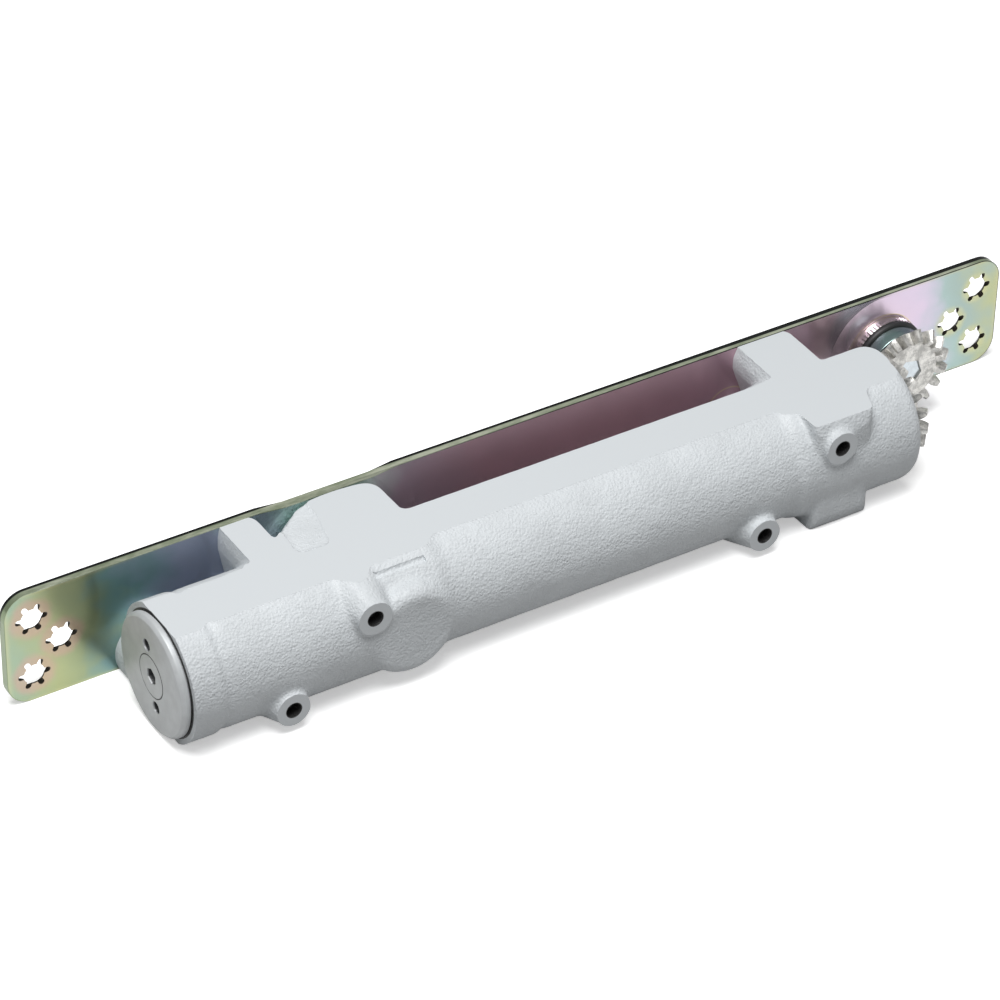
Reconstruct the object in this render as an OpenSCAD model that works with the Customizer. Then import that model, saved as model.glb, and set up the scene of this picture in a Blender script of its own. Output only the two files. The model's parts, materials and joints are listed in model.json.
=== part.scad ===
// Concealed door closer: a cam-action hydraulic closer body behind a slim steel faceplate.
// X runs along the faceplate, +Y leaves the door through the faceplate, +Z runs across the
// door's thickness. The origin is the middle of the faceplate's outer face. A depth is a
// distance behind that face, so a place at depth d has Y = -d.

/* [Faceplate] */
// Length of the faceplate
plate_len = 291; // [289:1:300]
// Width of the faceplate
plate_w = 32; // [32:0.5:36]
// Thickness of the faceplate
plate_t = 2.5; // [2:0.1:3]
// Radius of the faceplate's corners
plate_corner_r = 6.5; // [3:0.5:10]
// Distance from the faceplate's end to the centres of its outer star holes
hole_end_gap = 7.2; // [6:0.2:9]
// Distance between the two outer star holes of one end
hole_pitch = 16.6; // [14:0.2:18]
// Step from the outer star holes to the inner one
hole_step = 7.6; // [6:0.2:9]
// Radius of a star hole's round core
star_r = 2.8; // [2.4:0.1:3.2]
// Radius of each notch round a star hole
notch_r = 0.75; // [0.6:0.05:1]
// Number of notches round a star hole
notch_count = 6; // [5:1:8]
// Depth of the round dishes pressed into the faceplate
dish_depth = 1; // [0.6:0.1:1.4]
// Radius of the dish round the spindle
spindle_dish_r = 25; // [22:0.5:27]
// Radius of the dish round the spring adjuster
adjuster_dish_r = 15.4; // [13:0.2:15.6]
// Radius of the faceplate's opening round the spindle
spindle_opening_r = 9.5; // [8:0.25:12]

/* [Body] */
// Distance from the faceplate's inner face to the body's axis
standoff = 24.2; // [23.5:0.1:26]
// Distance between the body's two machined flats
body_flat_w = 31.8; // [31.4:0.1:32]
// Distance from the faceplate's left end to the body
left_gap = 28.5; // [26:0.5:30]
// Distance from the faceplate's right end to the body
right_gap = 53; // [52.5:0.1:54]
// Length of the end ring
end_ring_len = 9; // [6:0.5:12]
// Outer radius of the end ring
end_ring_r = 17.8; // [17.5:0.1:18.5]
// Outer radius of the body's left part, round the damping cylinder
left_r = 17.4; // [17:0.1:17.7]
// Outer radius of the body's middle part, round the spring
middle_r = 16.4; // [16.2:0.1:17]
// Outer radius of the body's right part
right_r = 17.4; // [17:0.1:18]
// Edge radius of the body's right end
right_edge_r = 3; // [1:0.5:4]
// Radius of the main bore
bore_r = 13.5; // [13:0.1:13.8]
// Thickness of the wall at the right end
end_wall = 14; // [11:0.5:15]

/* [Lobes that carry the faceplate] */
// Distance from the body's left end to the narrow lobe
lobe_a_place = 28.8; // [27:0.2:30]
// Width of the narrow lobe
lobe_a_w = 9.4; // [8.6:0.2:10]
// Distance from the wide lobe's left side to the body's right end
lobe_c_place = 30.3; // [29.5:0.1:31]
// Width of the wide lobe
lobe_c_w = 15.7; // [14:0.1:16]
// Radius of the round lobe about the spindle
spindle_lobe_r = 18.4; // [18:0.1:19]
// Edge radius of the round lobe
spindle_lobe_edge = 3.2; // [1.5:0.1:4]
// Half width of the spindle's lobe where the flats cut it
spindle_lobe_half = 11.2; // [10:0.1:12]
// How far the sides of the two narrow lobes draw in at their middle
lobe_waist = 1.8; // [0:0.1:2.4]
// Depth of the uncut patch beside the spindle's lobe, below the flat
patch_deep = 0.4; // [0.2:0.1:0.8]
// Radius of the foot behind the end ring
foot_r = 9.3; // [8:0.1:10]

/* [Bosses on the front of the body] */
// Distance from the body's axis to the faces of the small bosses
boss_reach = 18.1; // [17.5:0.1:19]
// Radius of a small boss's face
boss_r = 4.6; // [4:0.1:5]
// Radius of the drilling in a small boss
boss_hole_r = 2.1; // [1.6:0.1:2.4]
// Distance from the machined flats to the middle of the nearest small bosses
boss_inset = 6.6; // [6:0.1:7.5]
// Distance from the spindle's axis to the upper left boss
boss_place = 11.3; // [10.5:0.1:12]
// Distance from the wide lobe's left side to the upper right boss
pad_boss_place = 3.7; // [3:0.1:5]
// Distance that the lower row lies further left
boss_shift = 22.4; // [22:0.2:24]
// Radius of the blind bearing boss
bearing_boss_r = 13.3; // [12.5:0.1:14]
// Edge radius of the blind bearing boss
bearing_boss_edge = 3.6; // [2:0.1:4.5]
// Distance from the body's axis to the bearing boss's face
bearing_boss_reach = 17.3; // [17.2:0.1:18]
// Distance from the body's axis to the front of the square pad
pad_reach = 16.4; // [15.5:0.1:17]

/* [Spindle and cam] */
// Distance from the body's left end to the spindle's axis
spindle_place = 59.5; // [59:0.5:60]
// Radius of the spindle in its upper bearing
spindle_r = 6.5; // [6:0.1:6.8]
// Radius of the spindle's lower journal
lower_journal_r = 4.5; // [4:0.1:4.6]
// Width across the spindle's square end
square_w = 9; // [8:0.1:9]
// Radius of the tapped hole in the spindle's end
tapped_r = 2.5; // [2.1:0.1:3]
// Depth of the tapped hole
tapped_len = 14; // [10:1:16]
// Thickness of the cam
cam_t = 9; // [8:0.2:9.4]
// Least distance from the spindle's axis to a roller's axis
cam_min = 11; // [10.8:0.1:11.2]
// Travel of the pistons over the opening angle
cam_lift = 5; // [4.6:0.1:5]
// Greatest opening angle
open_angle = 120; // [120:1:125]

/* [Pistons and springs] */
// Radius of the rollers
roller_r = 6; // [5.8:0.1:6]
// Thickness of the rollers
roller_t = 8.8; // [8:0.1:9]
// Radius of the roller pins
roller_pin_r = 2; // [1.6:0.1:2.4]
// Thickness of the ears that hold a roller pin
ear_t = 3.8; // [3:0.1:4]
// Length of the spring piston's body
spring_piston_len = 15; // [13:0.5:16]
// Length of the damping piston's body
damping_piston_len = 12; // [11:0.5:13]
// Wire radius of the closing spring
spring_wire_r = 2.1; // [1.8:0.05:2.2]
// Number of turns of the closing spring
spring_turns = 11; // [9:1:13]
// Wire radius of the return spring
return_wire_r = 0.75; // [0.6:0.05:0.9]
// Number of turns of the return spring
return_turns = 5; // [4:1:6]
// Thickness of the spring nut
nut_t = 8; // [6:0.5:10]
// Distance from the spring nut to the screw's flange
nut_gap = 8; // [6:0.5:10]
// Radius of the adjusting screw
screw_r = 5; // [4.6:0.1:5.4]
// Radius of the adjusting screw where it passes through the end wall
screw_journal_r = 4.5; // [4:0.1:4.5]

/* [Bevel gears and adjuster] */
// Distance from the body's right end to the spring adjuster's axis
adjuster_gap = 15; // [15:0.1:15.5]
// Number of teeth on each bevel gear
gear_teeth = 16; // [14:2:18]
// Tooth module of the bevel gears at their large end
gear_module = 1.5; // [1.4:0.05:1.5]
// Length of the teeth along the cone
gear_face = 3.4; // [3:0.1:4]
// Width across the flats of the adjuster's hex end
hex_end_w = 7; // [6:0.1:7.2]
// Width across the flats of the key socket
key_w = 5; // [4:0.5:5]
// Depth of the key socket
key_depth = 6; // [4:0.5:7]
// Radius of the adjuster bush's collar
bush_r = 10; // [9.6:0.1:10.4]
// Radius of the adjuster's shaft
adjuster_r = 4.5; // [4:0.1:4.6]

/* [End cap] */
// Thickness of the cap's flange
cap_flange_t = 2.5; // [2:0.1:3]
// Length of the cap's threaded shank
cap_shank = 11; // [9:0.5:12]
// Radius of the cap's thread
cap_thread_r = 15.2; // [15:0.1:15.4]
// Radius of the plug in the middle of the cap
plug_r = 5.8; // [5:0.1:6.4]
// Radius of the two spanner holes
spanner_hole_r = 1.6; // [1.2:0.1:1.8]
// Distance of the spanner holes from the cap's middle
spanner_hole_gap = 8.4; // [8.1:0.1:9]
// Angle of the spanner holes' line, away from the upright
spanner_tilt = 13; // [0:1:20]
// Gap between the cap's flange and the body's end
cap_gap = 0.4; // [0.2:0.1:0.8]

/* [Screws and valves] */
// Radius of the faceplate screws
plate_screw_r = 1.95; // [1.5:0.05:2]
// Length of the faceplate screws
plate_screw_len = 12; // [9:0.5:13]
// Radius of the regulating valves
valve_r = 2; // [1.6:0.05:2.1]
// Length of the regulating valves
valve_len = 11; // [9:0.5:12]
// Distance from the machined flats to the outer screws and valves
side_inset = 6.6; // [6:0.1:7]

/* [Fits] */
// Gap between pieces that are fixed together
fit_gap = 0.02; // [0.01:0.005:0.03]
// Radial gap between pieces that turn or slide
run_gap = 0.05; // [0.03:0.01:0.08]

/* [Hidden] */
$fn = 48;

body_depth = plate_t + standoff;
flat_z = body_flat_w / 2;
boss_z = flat_z - boss_inset;
side_z = flat_z - side_inset;
body_left_x = left_gap - plate_len / 2;
body_right_x = plate_len / 2 - right_gap;
spindle_x = body_left_x + spindle_place;
adjuster_x = body_right_x + adjuster_gap;
dish_inner = plate_t + dish_depth;
dish_lap = 0.05;
spindle_dish_flat_r = 0.8 * spindle_dish_r;
hole_x = plate_len / 2 - hole_end_gap;
notch_circle_r = star_r + notch_r;
sink_depth = plate_t - 0.5;
star_places = [for (side = [-1, 1])
    each [[side * hole_x, hole_pitch / 2], [side * hole_x, -hole_pitch / 2], [side * (hole_x - hole_step), 0]]];

lobe_a_left_x = body_left_x + lobe_a_place;
lobe_c_left_x = body_right_x - lobe_c_place;
lobe_a_x = lobe_a_left_x + lobe_a_w / 2;
lobe_c_x = lobe_c_left_x + lobe_c_w / 2;
screw_places = [[lobe_a_x, 0], [lobe_c_x, side_z], [lobe_c_x, -side_z]];
valve_places = [[lobe_a_x, side_z], [lobe_a_x, -side_z], [lobe_c_x, 0]];
screw_head_r = 2 * plate_screw_r;
valve_hole_r = valve_r + run_gap;
valve_bottom = plate_t + valve_len + 1;

boss_left_x = spindle_x - boss_place;
boss_right_x = lobe_c_left_x + pad_boss_place;
boss_places = [
    [boss_left_x, boss_z], [boss_right_x, boss_z],
    [boss_left_x - boss_shift, -boss_z], [boss_right_x - boss_shift, -boss_z]
];
boss_face = body_depth + boss_reach;

cap_face_x = body_left_x - cap_flange_t;
cap_inner_x = body_left_x + cap_shank;
spring_end_x = body_right_x - end_wall;

// Rise of the rollers for each radian of the spindle, and the places of the two rollers
cam_rise = cam_lift / (open_angle * PI / 180);
cam_max = cam_min + cam_rise * PI;
spring_roller_x = spindle_x + cam_min;
damping_roller_x = spindle_x - cam_max;
roller_clear = 1.5;
spring_piston_x = spring_roller_x + roller_r + roller_clear;
damping_piston_x = damping_roller_x - roller_r - roller_clear;
spring_seat_x = spring_piston_x + spring_piston_len;
damping_back_x = damping_piston_x - damping_piston_len;
ear_gap = roller_t / 2 + 0.3;
ear_reach = ear_gap + ear_t;
ear_w = 10;
piston_r = bore_r - run_gap;
spring_r = piston_r - spring_wire_r - 0.6;
return_r = 8;
pocket_r = return_r + return_wire_r + 0.5;
pocket_len = 6;

// Bearings: a needle fills the space between its shaft and its race but for the running gap
needle_r = 1.22;
lower_needle_r = 0.97;
race_wall = 0.95;
upper_race_r = spindle_r + 2 * needle_r + 2 * run_gap;
lower_race_r = lower_journal_r + 2 * lower_needle_r + 2 * run_gap;
carrier_r = upper_race_r + race_wall + 3;
carrier_end = 15.4;
carrier_lip = 1;
upper_race_len = 8;
race_top = carrier_end - carrier_lip - upper_race_len;
seal_t = 1.9;
lower_race_len = 5;
lower_pocket_end = body_depth + bearing_boss_reach - 1.5;

// Adjusting screw and spring nut
washer_t = 1;
flange_t = 3;
flange_r = 9;
washer_r = 9.4;
screw_reach = 34;
screw_seal_gap = 6.3;
screw_groove_w = 2.2;
screw_groove_deep = 0.9;
flange_x = spring_end_x - washer_t - flange_t;
nut_x = flange_x - nut_gap - nut_t;
screw_tip_x = nut_x - screw_reach;
screw_groove_x = body_right_x - screw_seal_gap - screw_groove_w;

// Bevel gears: distances along the gear's axis are measured from the point where both axes meet
cone_angle = 45;
pitch_r = gear_module * gear_teeth / 2;
cone_dist = pitch_r / sin(cone_angle);
addendum = 0.9 * gear_module;
dedendum = 1.15 * gear_module;
backlash = 0.22;
inner_share = (cone_dist - gear_face) / cone_dist;
hub_face = pitch_r * inner_share + dedendum * inner_share * sin(cone_angle);
hub_back = pitch_r + dedendum * sin(cone_angle) + 0.9;
adjuster_gear_turn = 180 / gear_teeth;
collar_t = 2.8;
bush_groove_w = 1.8;
bush_groove_deep = 1.6;
bush_groove = [dish_inner + collar_t, dish_inner + collar_t + bush_groove_w];
gear_washer_t = 0.5;
bush_end = body_depth - hub_back - gear_washer_t - 0.1;
bush_seal_r = 0.95;
spigot_r = 7.5;
rivet_lip = 1;
hex_r = hex_end_w / 2 / cos(30);
ring_t = 0.8;
ring_w = 1.6;
ring_groove = 0.6;

// Puts children on an axis square to the faceplate, with their +Z running inwards from depth d
module inward(d = 0, x = 0, z = 0) {
    translate([x, -d, z]) rotate([90, 0, 0]) children();
}

// Puts children on the body's axis, with their +Z running along +X from place x
module along_body(x = 0) {
    translate([x, -body_depth, 0]) rotate([0, 90, 0]) children();
}

// A rod whose two ends lie at the heights a and b
module rod(r, a, b) {
    translate([0, 0, min(a, b)]) cylinder(r = r, h = abs(b - a));
}

// A plain ring between the heights a and b
module ring(outer, inner, a, b) {
    difference() {
        rod(outer, a, b);
        rod(inner, a - 1, b + 1);
    }
}

// A sealing ring of round section
module o_ring(middle, section) {
    rotate_extrude() translate([middle, 0]) circle(r = section, $fn = 24);
}

// Arc that rounds the corner b between the neighbours a and c
function corner_arc(a, b, c, r, steps) =
    let (
        u = (a - b) / norm(a - b),
        v = (c - b) / norm(c - b),
        half = acos(u * v) / 2,
        start = b + u * r / tan(half),
        centre = b + (u + v) / norm(u + v) * r / sin(half),
        turn = cross(b - a, c - b) > 0 ? 180 - 2 * half : 2 * half - 180,
        from = atan2(start.y - centre.y, start.x - centre.x)
    )
    [for (i = [0 : steps]) centre + r * [cos(from + turn * i / steps), sin(from + turn * i / steps)]];

// Outline whose corners are [x, y, radius]
function rounded(corners, steps = 6) =
    let (n = len(corners), at = [for (c = corners) [c[0], c[1]]])
    [for (i = [0 : n - 1])
        each (corners[i][2] == 0 ? [at[i]]
            : corner_arc(at[(i + n - 1) % n], at[i], at[(i + 1) % n], corners[i][2], steps))];

// Outline drawn as [x, depth, radius] and extruded between the body's two flats
module between_flats(corners) {
    linear_extrude(height = body_flat_w, center = true)
        polygon(rounded([for (c = corners) [c[0], -c[1], c[2]]]));
}

// Helical tube from height a to height b, as one closed surface
module coil(mean_r, wire_r, turns, a, b, sides = 6, steps = 24) {
    rings = turns * steps;
    rise = b - a - 2 * wire_r;
    lean = atan(rise / turns / (2 * PI * mean_r));
    points = [for (i = [0 : rings], j = [0 : sides - 1])
        let (turn = 360 * i / steps, side = 360 * j / sides, out = wire_r * cos(side), up = wire_r * sin(side))
        [
            (mean_r + out) * cos(turn) + up * sin(lean) * sin(turn),
            (mean_r + out) * sin(turn) - up * sin(lean) * cos(turn),
            a + wire_r + rise * i / rings + up * cos(lean)
        ]];
    sides_faces = [for (i = [0 : rings - 1], j = [0 : sides - 1])
        let (k = i * sides + j, l = i * sides + (j + 1) % sides)
        each [[k, k + sides, l], [l, k + sides, l + sides]]];
    last = rings * sides;
    ends = [
        for (j = [1 : sides - 2]) each [[0, j, j + 1], [last, last + j + 1, last + j]]
    ];
    polyhedron(points, concat(sides_faces, ends), convexity = 10);
}

module plate_shape() {
    straight_x = plate_len - 2 * plate_corner_r;
    straight_z = plate_w - 2 * plate_corner_r;
    square([straight_x, plate_w], center = true);
    square([plate_len, straight_z], center = true);
    for (x = [-1, 1], z = [-1, 1])
        translate([x * straight_x / 2, z * straight_z / 2]) circle(r = plate_corner_r);
}

// A dish that stands towards the body, as thick as the plate
module dish(r, flat_r) {
    rotate_extrude() polygon([
        [0, dish_depth], [flat_r, dish_depth], [r, 0],
        [r, plate_t], [flat_r, dish_inner], [0, dish_inner]
    ]);
}

// A screw hole that is sunk from the outside and has grip notches all round
module star_hole() {
    rod(star_r, -1, plate_t + 1);
    translate([0, 0, -0.1]) cylinder(r1 = star_r + sink_depth + 0.1, r2 = star_r, h = sink_depth + 0.1);
    for (i = [0 : notch_count - 1]) rotate(360 * i / notch_count) {
        translate([notch_circle_r, 0, 0]) rod(notch_r, -1, plate_t + 1);
        translate([0, -notch_r, -1]) cube([notch_circle_r, 2 * notch_r, plate_t + 2]);
    }
}

module mounting_plate() color([0.55, 0.62, 0.55]) difference() {
    union() {
        difference() {
            inward() linear_extrude(plate_t) plate_shape();
            inward(-1, spindle_x) rod(spindle_dish_r - dish_lap, 0, dish_inner + 2);
            inward(-1, adjuster_x) rod(adjuster_dish_r - dish_lap, 0, dish_inner + 2);
        }
        intersection() {
            inward(-1) linear_extrude(dish_inner + 2) plate_shape();
            union() {
                inward(0, spindle_x) dish(spindle_dish_r, spindle_dish_flat_r);
                inward(0, adjuster_x) dish(adjuster_dish_r, bush_r + 0.5);
            }
        }
    }
    for (p = star_places) inward(0, p[0], p[1]) star_hole();
    inward(-1, spindle_x) rod(spindle_opening_r, 0, dish_inner + 2);
    inward(-1, adjuster_x) rod(spigot_r + fit_gap, 0, dish_inner + 2);
    for (p = screw_places) inward(0, p[0], p[1]) {
        rod(plate_screw_r + fit_gap + 0.1, -1, dish_inner + 2);
        translate([0, 0, -0.1])
            cylinder(r1 = screw_head_r + 0.15, r2 = plate_screw_r + 0.05, h = screw_head_r - plate_screw_r + 0.1);
    }
    for (p = valve_places) inward(-1, p[0], p[1]) rod(valve_r + 0.6, 0, dish_inner + 2);
}

module plate_screws() color([0.78, 0.76, 0.66]) for (p = screw_places) inward(0, p[0], p[1]) difference() {
    union() {
        cylinder(r1 = screw_head_r, r2 = plate_screw_r, h = screw_head_r - plate_screw_r);
        rod(plate_screw_r, 0, plate_screw_len);
    }
    cylinder(r = 0.75 * plate_screw_r, h = 2.4, center = true, $fn = 6);
}

// Half section of the cast body, as [radius, place along the body]
function body_section() = let (
        ring_end = body_left_x + end_ring_len,
        middle_start = spindle_x + 12,
        middle_end = lobe_c_left_x - 6
    )
    concat(
        [
            [0, body_left_x], [end_ring_r - 0.6, body_left_x], [end_ring_r, body_left_x + 0.6],
            [end_ring_r, ring_end - 0.6], [left_r, ring_end], [left_r, middle_start - 3],
            [middle_r, middle_start], [middle_r, middle_end - 1.5], [right_r, middle_end]
        ],
        [for (a = [0 : 15 : 90])
            [right_r - right_edge_r * (1 - cos(a)), body_right_x - right_edge_r * (1 - sin(a))]],
        [[0, body_right_x]]
    );

module flats_slab() {
    translate([-plate_len, -2 * body_depth, -flat_z]) cube([2 * plate_len, 4 * body_depth, body_flat_w]);
}

// Round lobe about the spindle, with a rounded edge under the faceplate's dish
module spindle_lobe() {
    edge = spindle_lobe_edge;
    inward(0, spindle_x) rotate_extrude() polygon(concat(
        [[0, dish_inner]],
        [for (a = [90 : -15 : 0])
            [spindle_lobe_r - edge + edge * cos(a), dish_inner + edge - edge * sin(a)]],
        [[spindle_lobe_r, body_depth], [0, body_depth]]
    ));
}

// Sides of a narrow lobe, seen square to the faceplate: they bulge at its screws or valves
module waisted(left, right) {
    in = lobe_waist;
    side = [[0.6, -flat_z - 2, 0], [0, -flat_z + 2, 3], [0, -side_z + 1, 5], [in, -1.5, 5],
        [in, 1.5, 5], [0, side_z - 1, 5], [0, flat_z - 2, 3], [0.6, flat_z + 2, 0]];
    inward(plate_t - 0.01) linear_extrude(body_depth - 6 - plate_t)
        polygon(concat(
            rounded([for (c = side) [left + c[0], c[1], c[2]]]),
            rounded([for (i = [7 : -1 : 0]) [right - side[i][0], side[i][1], side[i][2]]])
        ));
}

// Webs and lobes, seen square to the flats
module lobes() {
    back = body_depth - 6.6;
    rail = body_depth - 7.8;
    end_rail = body_depth - 8.5;
    lobe_a_right_x = lobe_a_left_x + lobe_a_w;
    lobe_c_right_x = lobe_c_left_x + lobe_c_w;
    top = dish_inner + 1;
    intersection() {
        between_flats([
            [lobe_a_left_x - 6.5, back + 1.5, 0], [lobe_a_left_x - 6.5, back, 0],
            [lobe_a_left_x - 1.4, back, 1.2], [lobe_a_left_x + 0.6, plate_t, 1],
            [lobe_a_right_x + 0.2, plate_t, 3.2], [lobe_a_right_x + 1.3, plate_t + 11, 0],
            [lobe_a_right_x + 0.4, back + 1.5, 0]
        ]);
        union() {
            waisted(lobe_a_left_x - 0.6, lobe_a_right_x + 0.9);
            inward() translate([lobe_a_left_x - 7.5, -flat_z - 1, plate_t + 13])
                cube([lobe_a_w + 9.5, body_flat_w + 2, back]);
        }
    }
    between_flats([
        [lobe_a_left_x - 7.2, body_depth, 0], [lobe_a_left_x - 7.2, back + 0.8, 0],
        [lobe_a_right_x - 2, back + 0.8, 0], [lobe_a_right_x - 2, plate_t + 12, 0],
        [lobe_a_right_x + 1.5, plate_t + 9.2, 0], [spindle_x - 9.5, top, 8],
        [spindle_x + spindle_lobe_half, top, 4.5], [spindle_x + spindle_lobe_half, rail, 2.5],
        [lobe_c_left_x + 5, rail, 0], [lobe_c_left_x + 5, body_depth, 0]
    ]);
    intersection() {
        between_flats([
            [lobe_c_left_x - 8, rail, 0], [lobe_c_left_x - 2.4, rail, 1.2],
            [lobe_c_left_x + 0.5, plate_t, 1.2], [lobe_c_right_x - 0.3, plate_t, 3],
            [lobe_c_right_x, end_rail, 2.2], [lobe_c_right_x + 5, end_rail, 0],
            [lobe_c_right_x + 5, end_rail + 1, 0], [lobe_c_left_x - 8, end_rail + 1, 0]
        ]);
        union() {
            waisted(lobe_c_left_x - 0.8, lobe_c_right_x);
            inward() translate([lobe_c_left_x - 8.5, -flat_z - 1, plate_t + 12])
                cube([lobe_c_w + 14, body_flat_w + 2, rail]);
        }
    }
    between_flats([
        [lobe_c_left_x + 4, body_depth, 0], [lobe_c_left_x + 4, end_rail, 0],
        [body_right_x - 0.2, end_rail, 4.5], [body_right_x - 0.2, body_depth, 0]
    ]);
}

// Foot behind the end ring, which backs the faceplate on its lower side
module foot() {
    inward(0, body_left_x + foot_r + 0.2, foot_r - flat_z - 5.1) rod(foot_r, plate_t, body_depth);
}

// The casting's skin beside the spindle's lobe, which lies below the machined flats
module flat_patches() {
    for (side = [-1, 1]) translate([0, 0, side * flat_z])
        linear_extrude(height = 2 * patch_deep, center = true)
            polygon(rounded([for (c = [
                [-7.4, 0, 0], [-7, 9, 4], [-10, 21.3, 2], [-19, 21.3, 2.5], [-17.8, 10, 0], [-17.8, 0, 0]
            ]) [spindle_x + c[0], -c[1], c[2]]]));
}

// Square pad that joins the upper right boss to the flats
module pad() {
    front = body_depth + pad_reach;
    left = lobe_c_left_x - 2.6;
    right = lobe_c_left_x + lobe_c_w - 1.6;
    intersection() {
        between_flats([
            [left, body_depth, 0], [left, front, 2.5], [right, front, 4],
            [right + 4.4, body_depth + 5, 3], [right + 4.4, body_depth, 0]
        ]);
        translate([left - 1, 0, 0]) rotate([90, 0, 90]) linear_extrude(right - left + 8)
            polygon(rounded([
                [-body_depth + 1, -flat_z - 2, 0], [-body_depth + 1, flat_z + 2, 0],
                [-front + 2, flat_z + 1, 2.5], [-front, flat_z - 3.4, 2.5],
                [-front, -flat_z + 3.4, 2.5], [-front + 2, -flat_z - 1, 2.5]
            ]));
    }
}

module bosses() {
    for (p = boss_places) inward(0, p[0], p[1]) {
        rod(boss_r, body_depth, boss_face);
        translate([0, 0, body_depth + 4]) cylinder(r1 = boss_r + 4.6, r2 = boss_r, h = boss_reach - 5);
    }
    inward(0, spindle_x) {
        edge = bearing_boss_edge;
        rotate_extrude() polygon(concat(
            [[0, body_depth], [bearing_boss_r, body_depth]],
            [for (a = [0 : 18 : 90]) [
                bearing_boss_r - edge + edge * cos(a),
                body_depth + bearing_boss_reach - edge + edge * sin(a)
            ]],
            [[0, body_depth + bearing_boss_reach]]
        ));
    }
}

module main_bore() {
    along_body() {
        rod(cap_thread_r, body_left_x - 1, cap_inner_x + 0.5);
        rod(bore_r, cap_inner_x, spring_end_x);
        rod(screw_journal_r + run_gap, spring_end_x - 1, body_right_x + 1);
    }
}

module housing() color([0.83, 0.85, 0.86]) difference() {
    union() {
        intersection() {
            union() {
                along_body() rotate_extrude() polygon(body_section());
                spindle_lobe();
                bosses();
                foot();
            }
            flats_slab();
        }
        lobes();
        pad();
    }
    main_bore();
    flat_patches();
    translate([spindle_x, -body_depth - 10.1, 14.8]) rotate([0, 90, 0]) {
        cylinder(r = 1.2, h = 12, center = true, $fn = 24);
        for (end = [-6, 6]) translate([0, 0, end]) sphere(r = 1.2, $fn = 24);
    }
    inward(0, spindle_x) rotate_extrude() polygon([
        [0, 0], [spindle_dish_r + fit_gap, 0], [spindle_dish_r + fit_gap, plate_t],
        [spindle_dish_flat_r + fit_gap, dish_inner + 0.001], [0, dish_inner + 0.001]
    ]);
    inward(0, spindle_x) {
        rod(carrier_r + fit_gap, plate_t - 1, body_depth);
        rod(lower_race_r + race_wall + fit_gap, body_depth, lower_pocket_end);
    }
    for (p = boss_places) inward(0, p[0], p[1]) rod(boss_hole_r, body_depth, boss_face + 1);
    for (p = screw_places) inward(0, p[0], p[1])
        rod(plate_screw_r + fit_gap, 0, plate_screw_len + 0.5);
    for (p = valve_places) inward(0, p[0], p[1]) {
        rod(valve_hole_r, 0, valve_bottom);
        rod(0.8, 0, body_depth);
    }
}

module channel_plugs() color([0.6, 0.6, 0.62]) for (p = boss_places)
    inward(boss_face - 4, p[0], p[1]) sphere(r = boss_hole_r - fit_gap / 2);

module end_cap() color([0.62, 0.63, 0.64]) difference() {
    along_body() difference() {
        rotate_extrude() polygon([
            [0, cap_face_x], [flat_z - 0.8, cap_face_x], [flat_z, cap_face_x + 0.8],
            [flat_z, body_left_x - cap_gap], [cap_thread_r - fit_gap, body_left_x - cap_gap],
            [cap_thread_r - fit_gap, cap_inner_x], [0, cap_inner_x]
        ]);
        ring(cap_thread_r + 1, cap_thread_r - 2.1, cap_inner_x - 4, cap_inner_x - 1.8);
        rod(plug_r, cap_face_x - 1, cap_face_x + 2);
        rod(3.5 + fit_gap, cap_face_x, cap_inner_x + 1);
        rod(pocket_r, cap_inner_x - 4, cap_inner_x + 1);
        for (side = [-1, 1]) rotate(-spanner_tilt)
            translate([side * spanner_hole_gap, 0, 0]) rod(spanner_hole_r, cap_face_x - 1, cap_face_x + 2.6);
    }
}

module cap_center_plug() color([0.6, 0.61, 0.62]) along_body() difference() {
    union() {
        rod(plug_r - 0.08, cap_face_x, cap_face_x + 2);
        rod(3.5, cap_face_x, cap_inner_x - 4.2);
    }
    translate([0, 0, cap_face_x - 1]) cylinder(r = 2.3, h = 4.2, $fn = 6);
}

module cap_seal_ring() color([0.12, 0.12, 0.12]) along_body(cap_inner_x - 2.9)
    o_ring(cap_thread_r - 1.05, 1.03);

module bearing_carrier() color([0.7, 0.71, 0.72]) inward(0, spindle_x) difference() {
    rod(carrier_r, dish_inner + fit_gap, carrier_end);
    rod(upper_race_r + race_wall + fit_gap, 0, carrier_end - carrier_lip);
    rod(spindle_r + 0.5, 0, carrier_end + 1);
}

module upper_bearing_race() color([0.75, 0.76, 0.78]) inward(0, spindle_x)
    ring(upper_race_r + race_wall, upper_race_r, race_top, race_top + upper_race_len);

module upper_needles() color([0.8, 0.8, 0.82]) inward(0, spindle_x) for (i = [0 : 15])
    rotate(22.5 * i) translate([spindle_r + needle_r + run_gap, 0, 0])
        rod(needle_r, race_top + 0.3, race_top + upper_race_len - 0.2);

module lower_bearing_race() color([0.75, 0.76, 0.78]) inward(0, spindle_x)
    ring(lower_race_r + race_wall, lower_race_r, lower_pocket_end - 0.1 - lower_race_len, lower_pocket_end - 0.1);

module lower_needles() color([0.8, 0.8, 0.82]) inward(0, spindle_x) for (i = [0 : 11])
    rotate(30 * i) translate([lower_journal_r + lower_needle_r + run_gap, 0, 0])
        rod(lower_needle_r, lower_pocket_end - lower_race_len + 0.1, lower_pocket_end - 0.3);

module spindle_seal() color([0.1, 0.1, 0.1]) inward(0, spindle_x)
    ring(upper_race_r + race_wall - fit_gap, spindle_r + run_gap, race_top - 0.1 - seal_t, race_top - 0.1);

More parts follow.
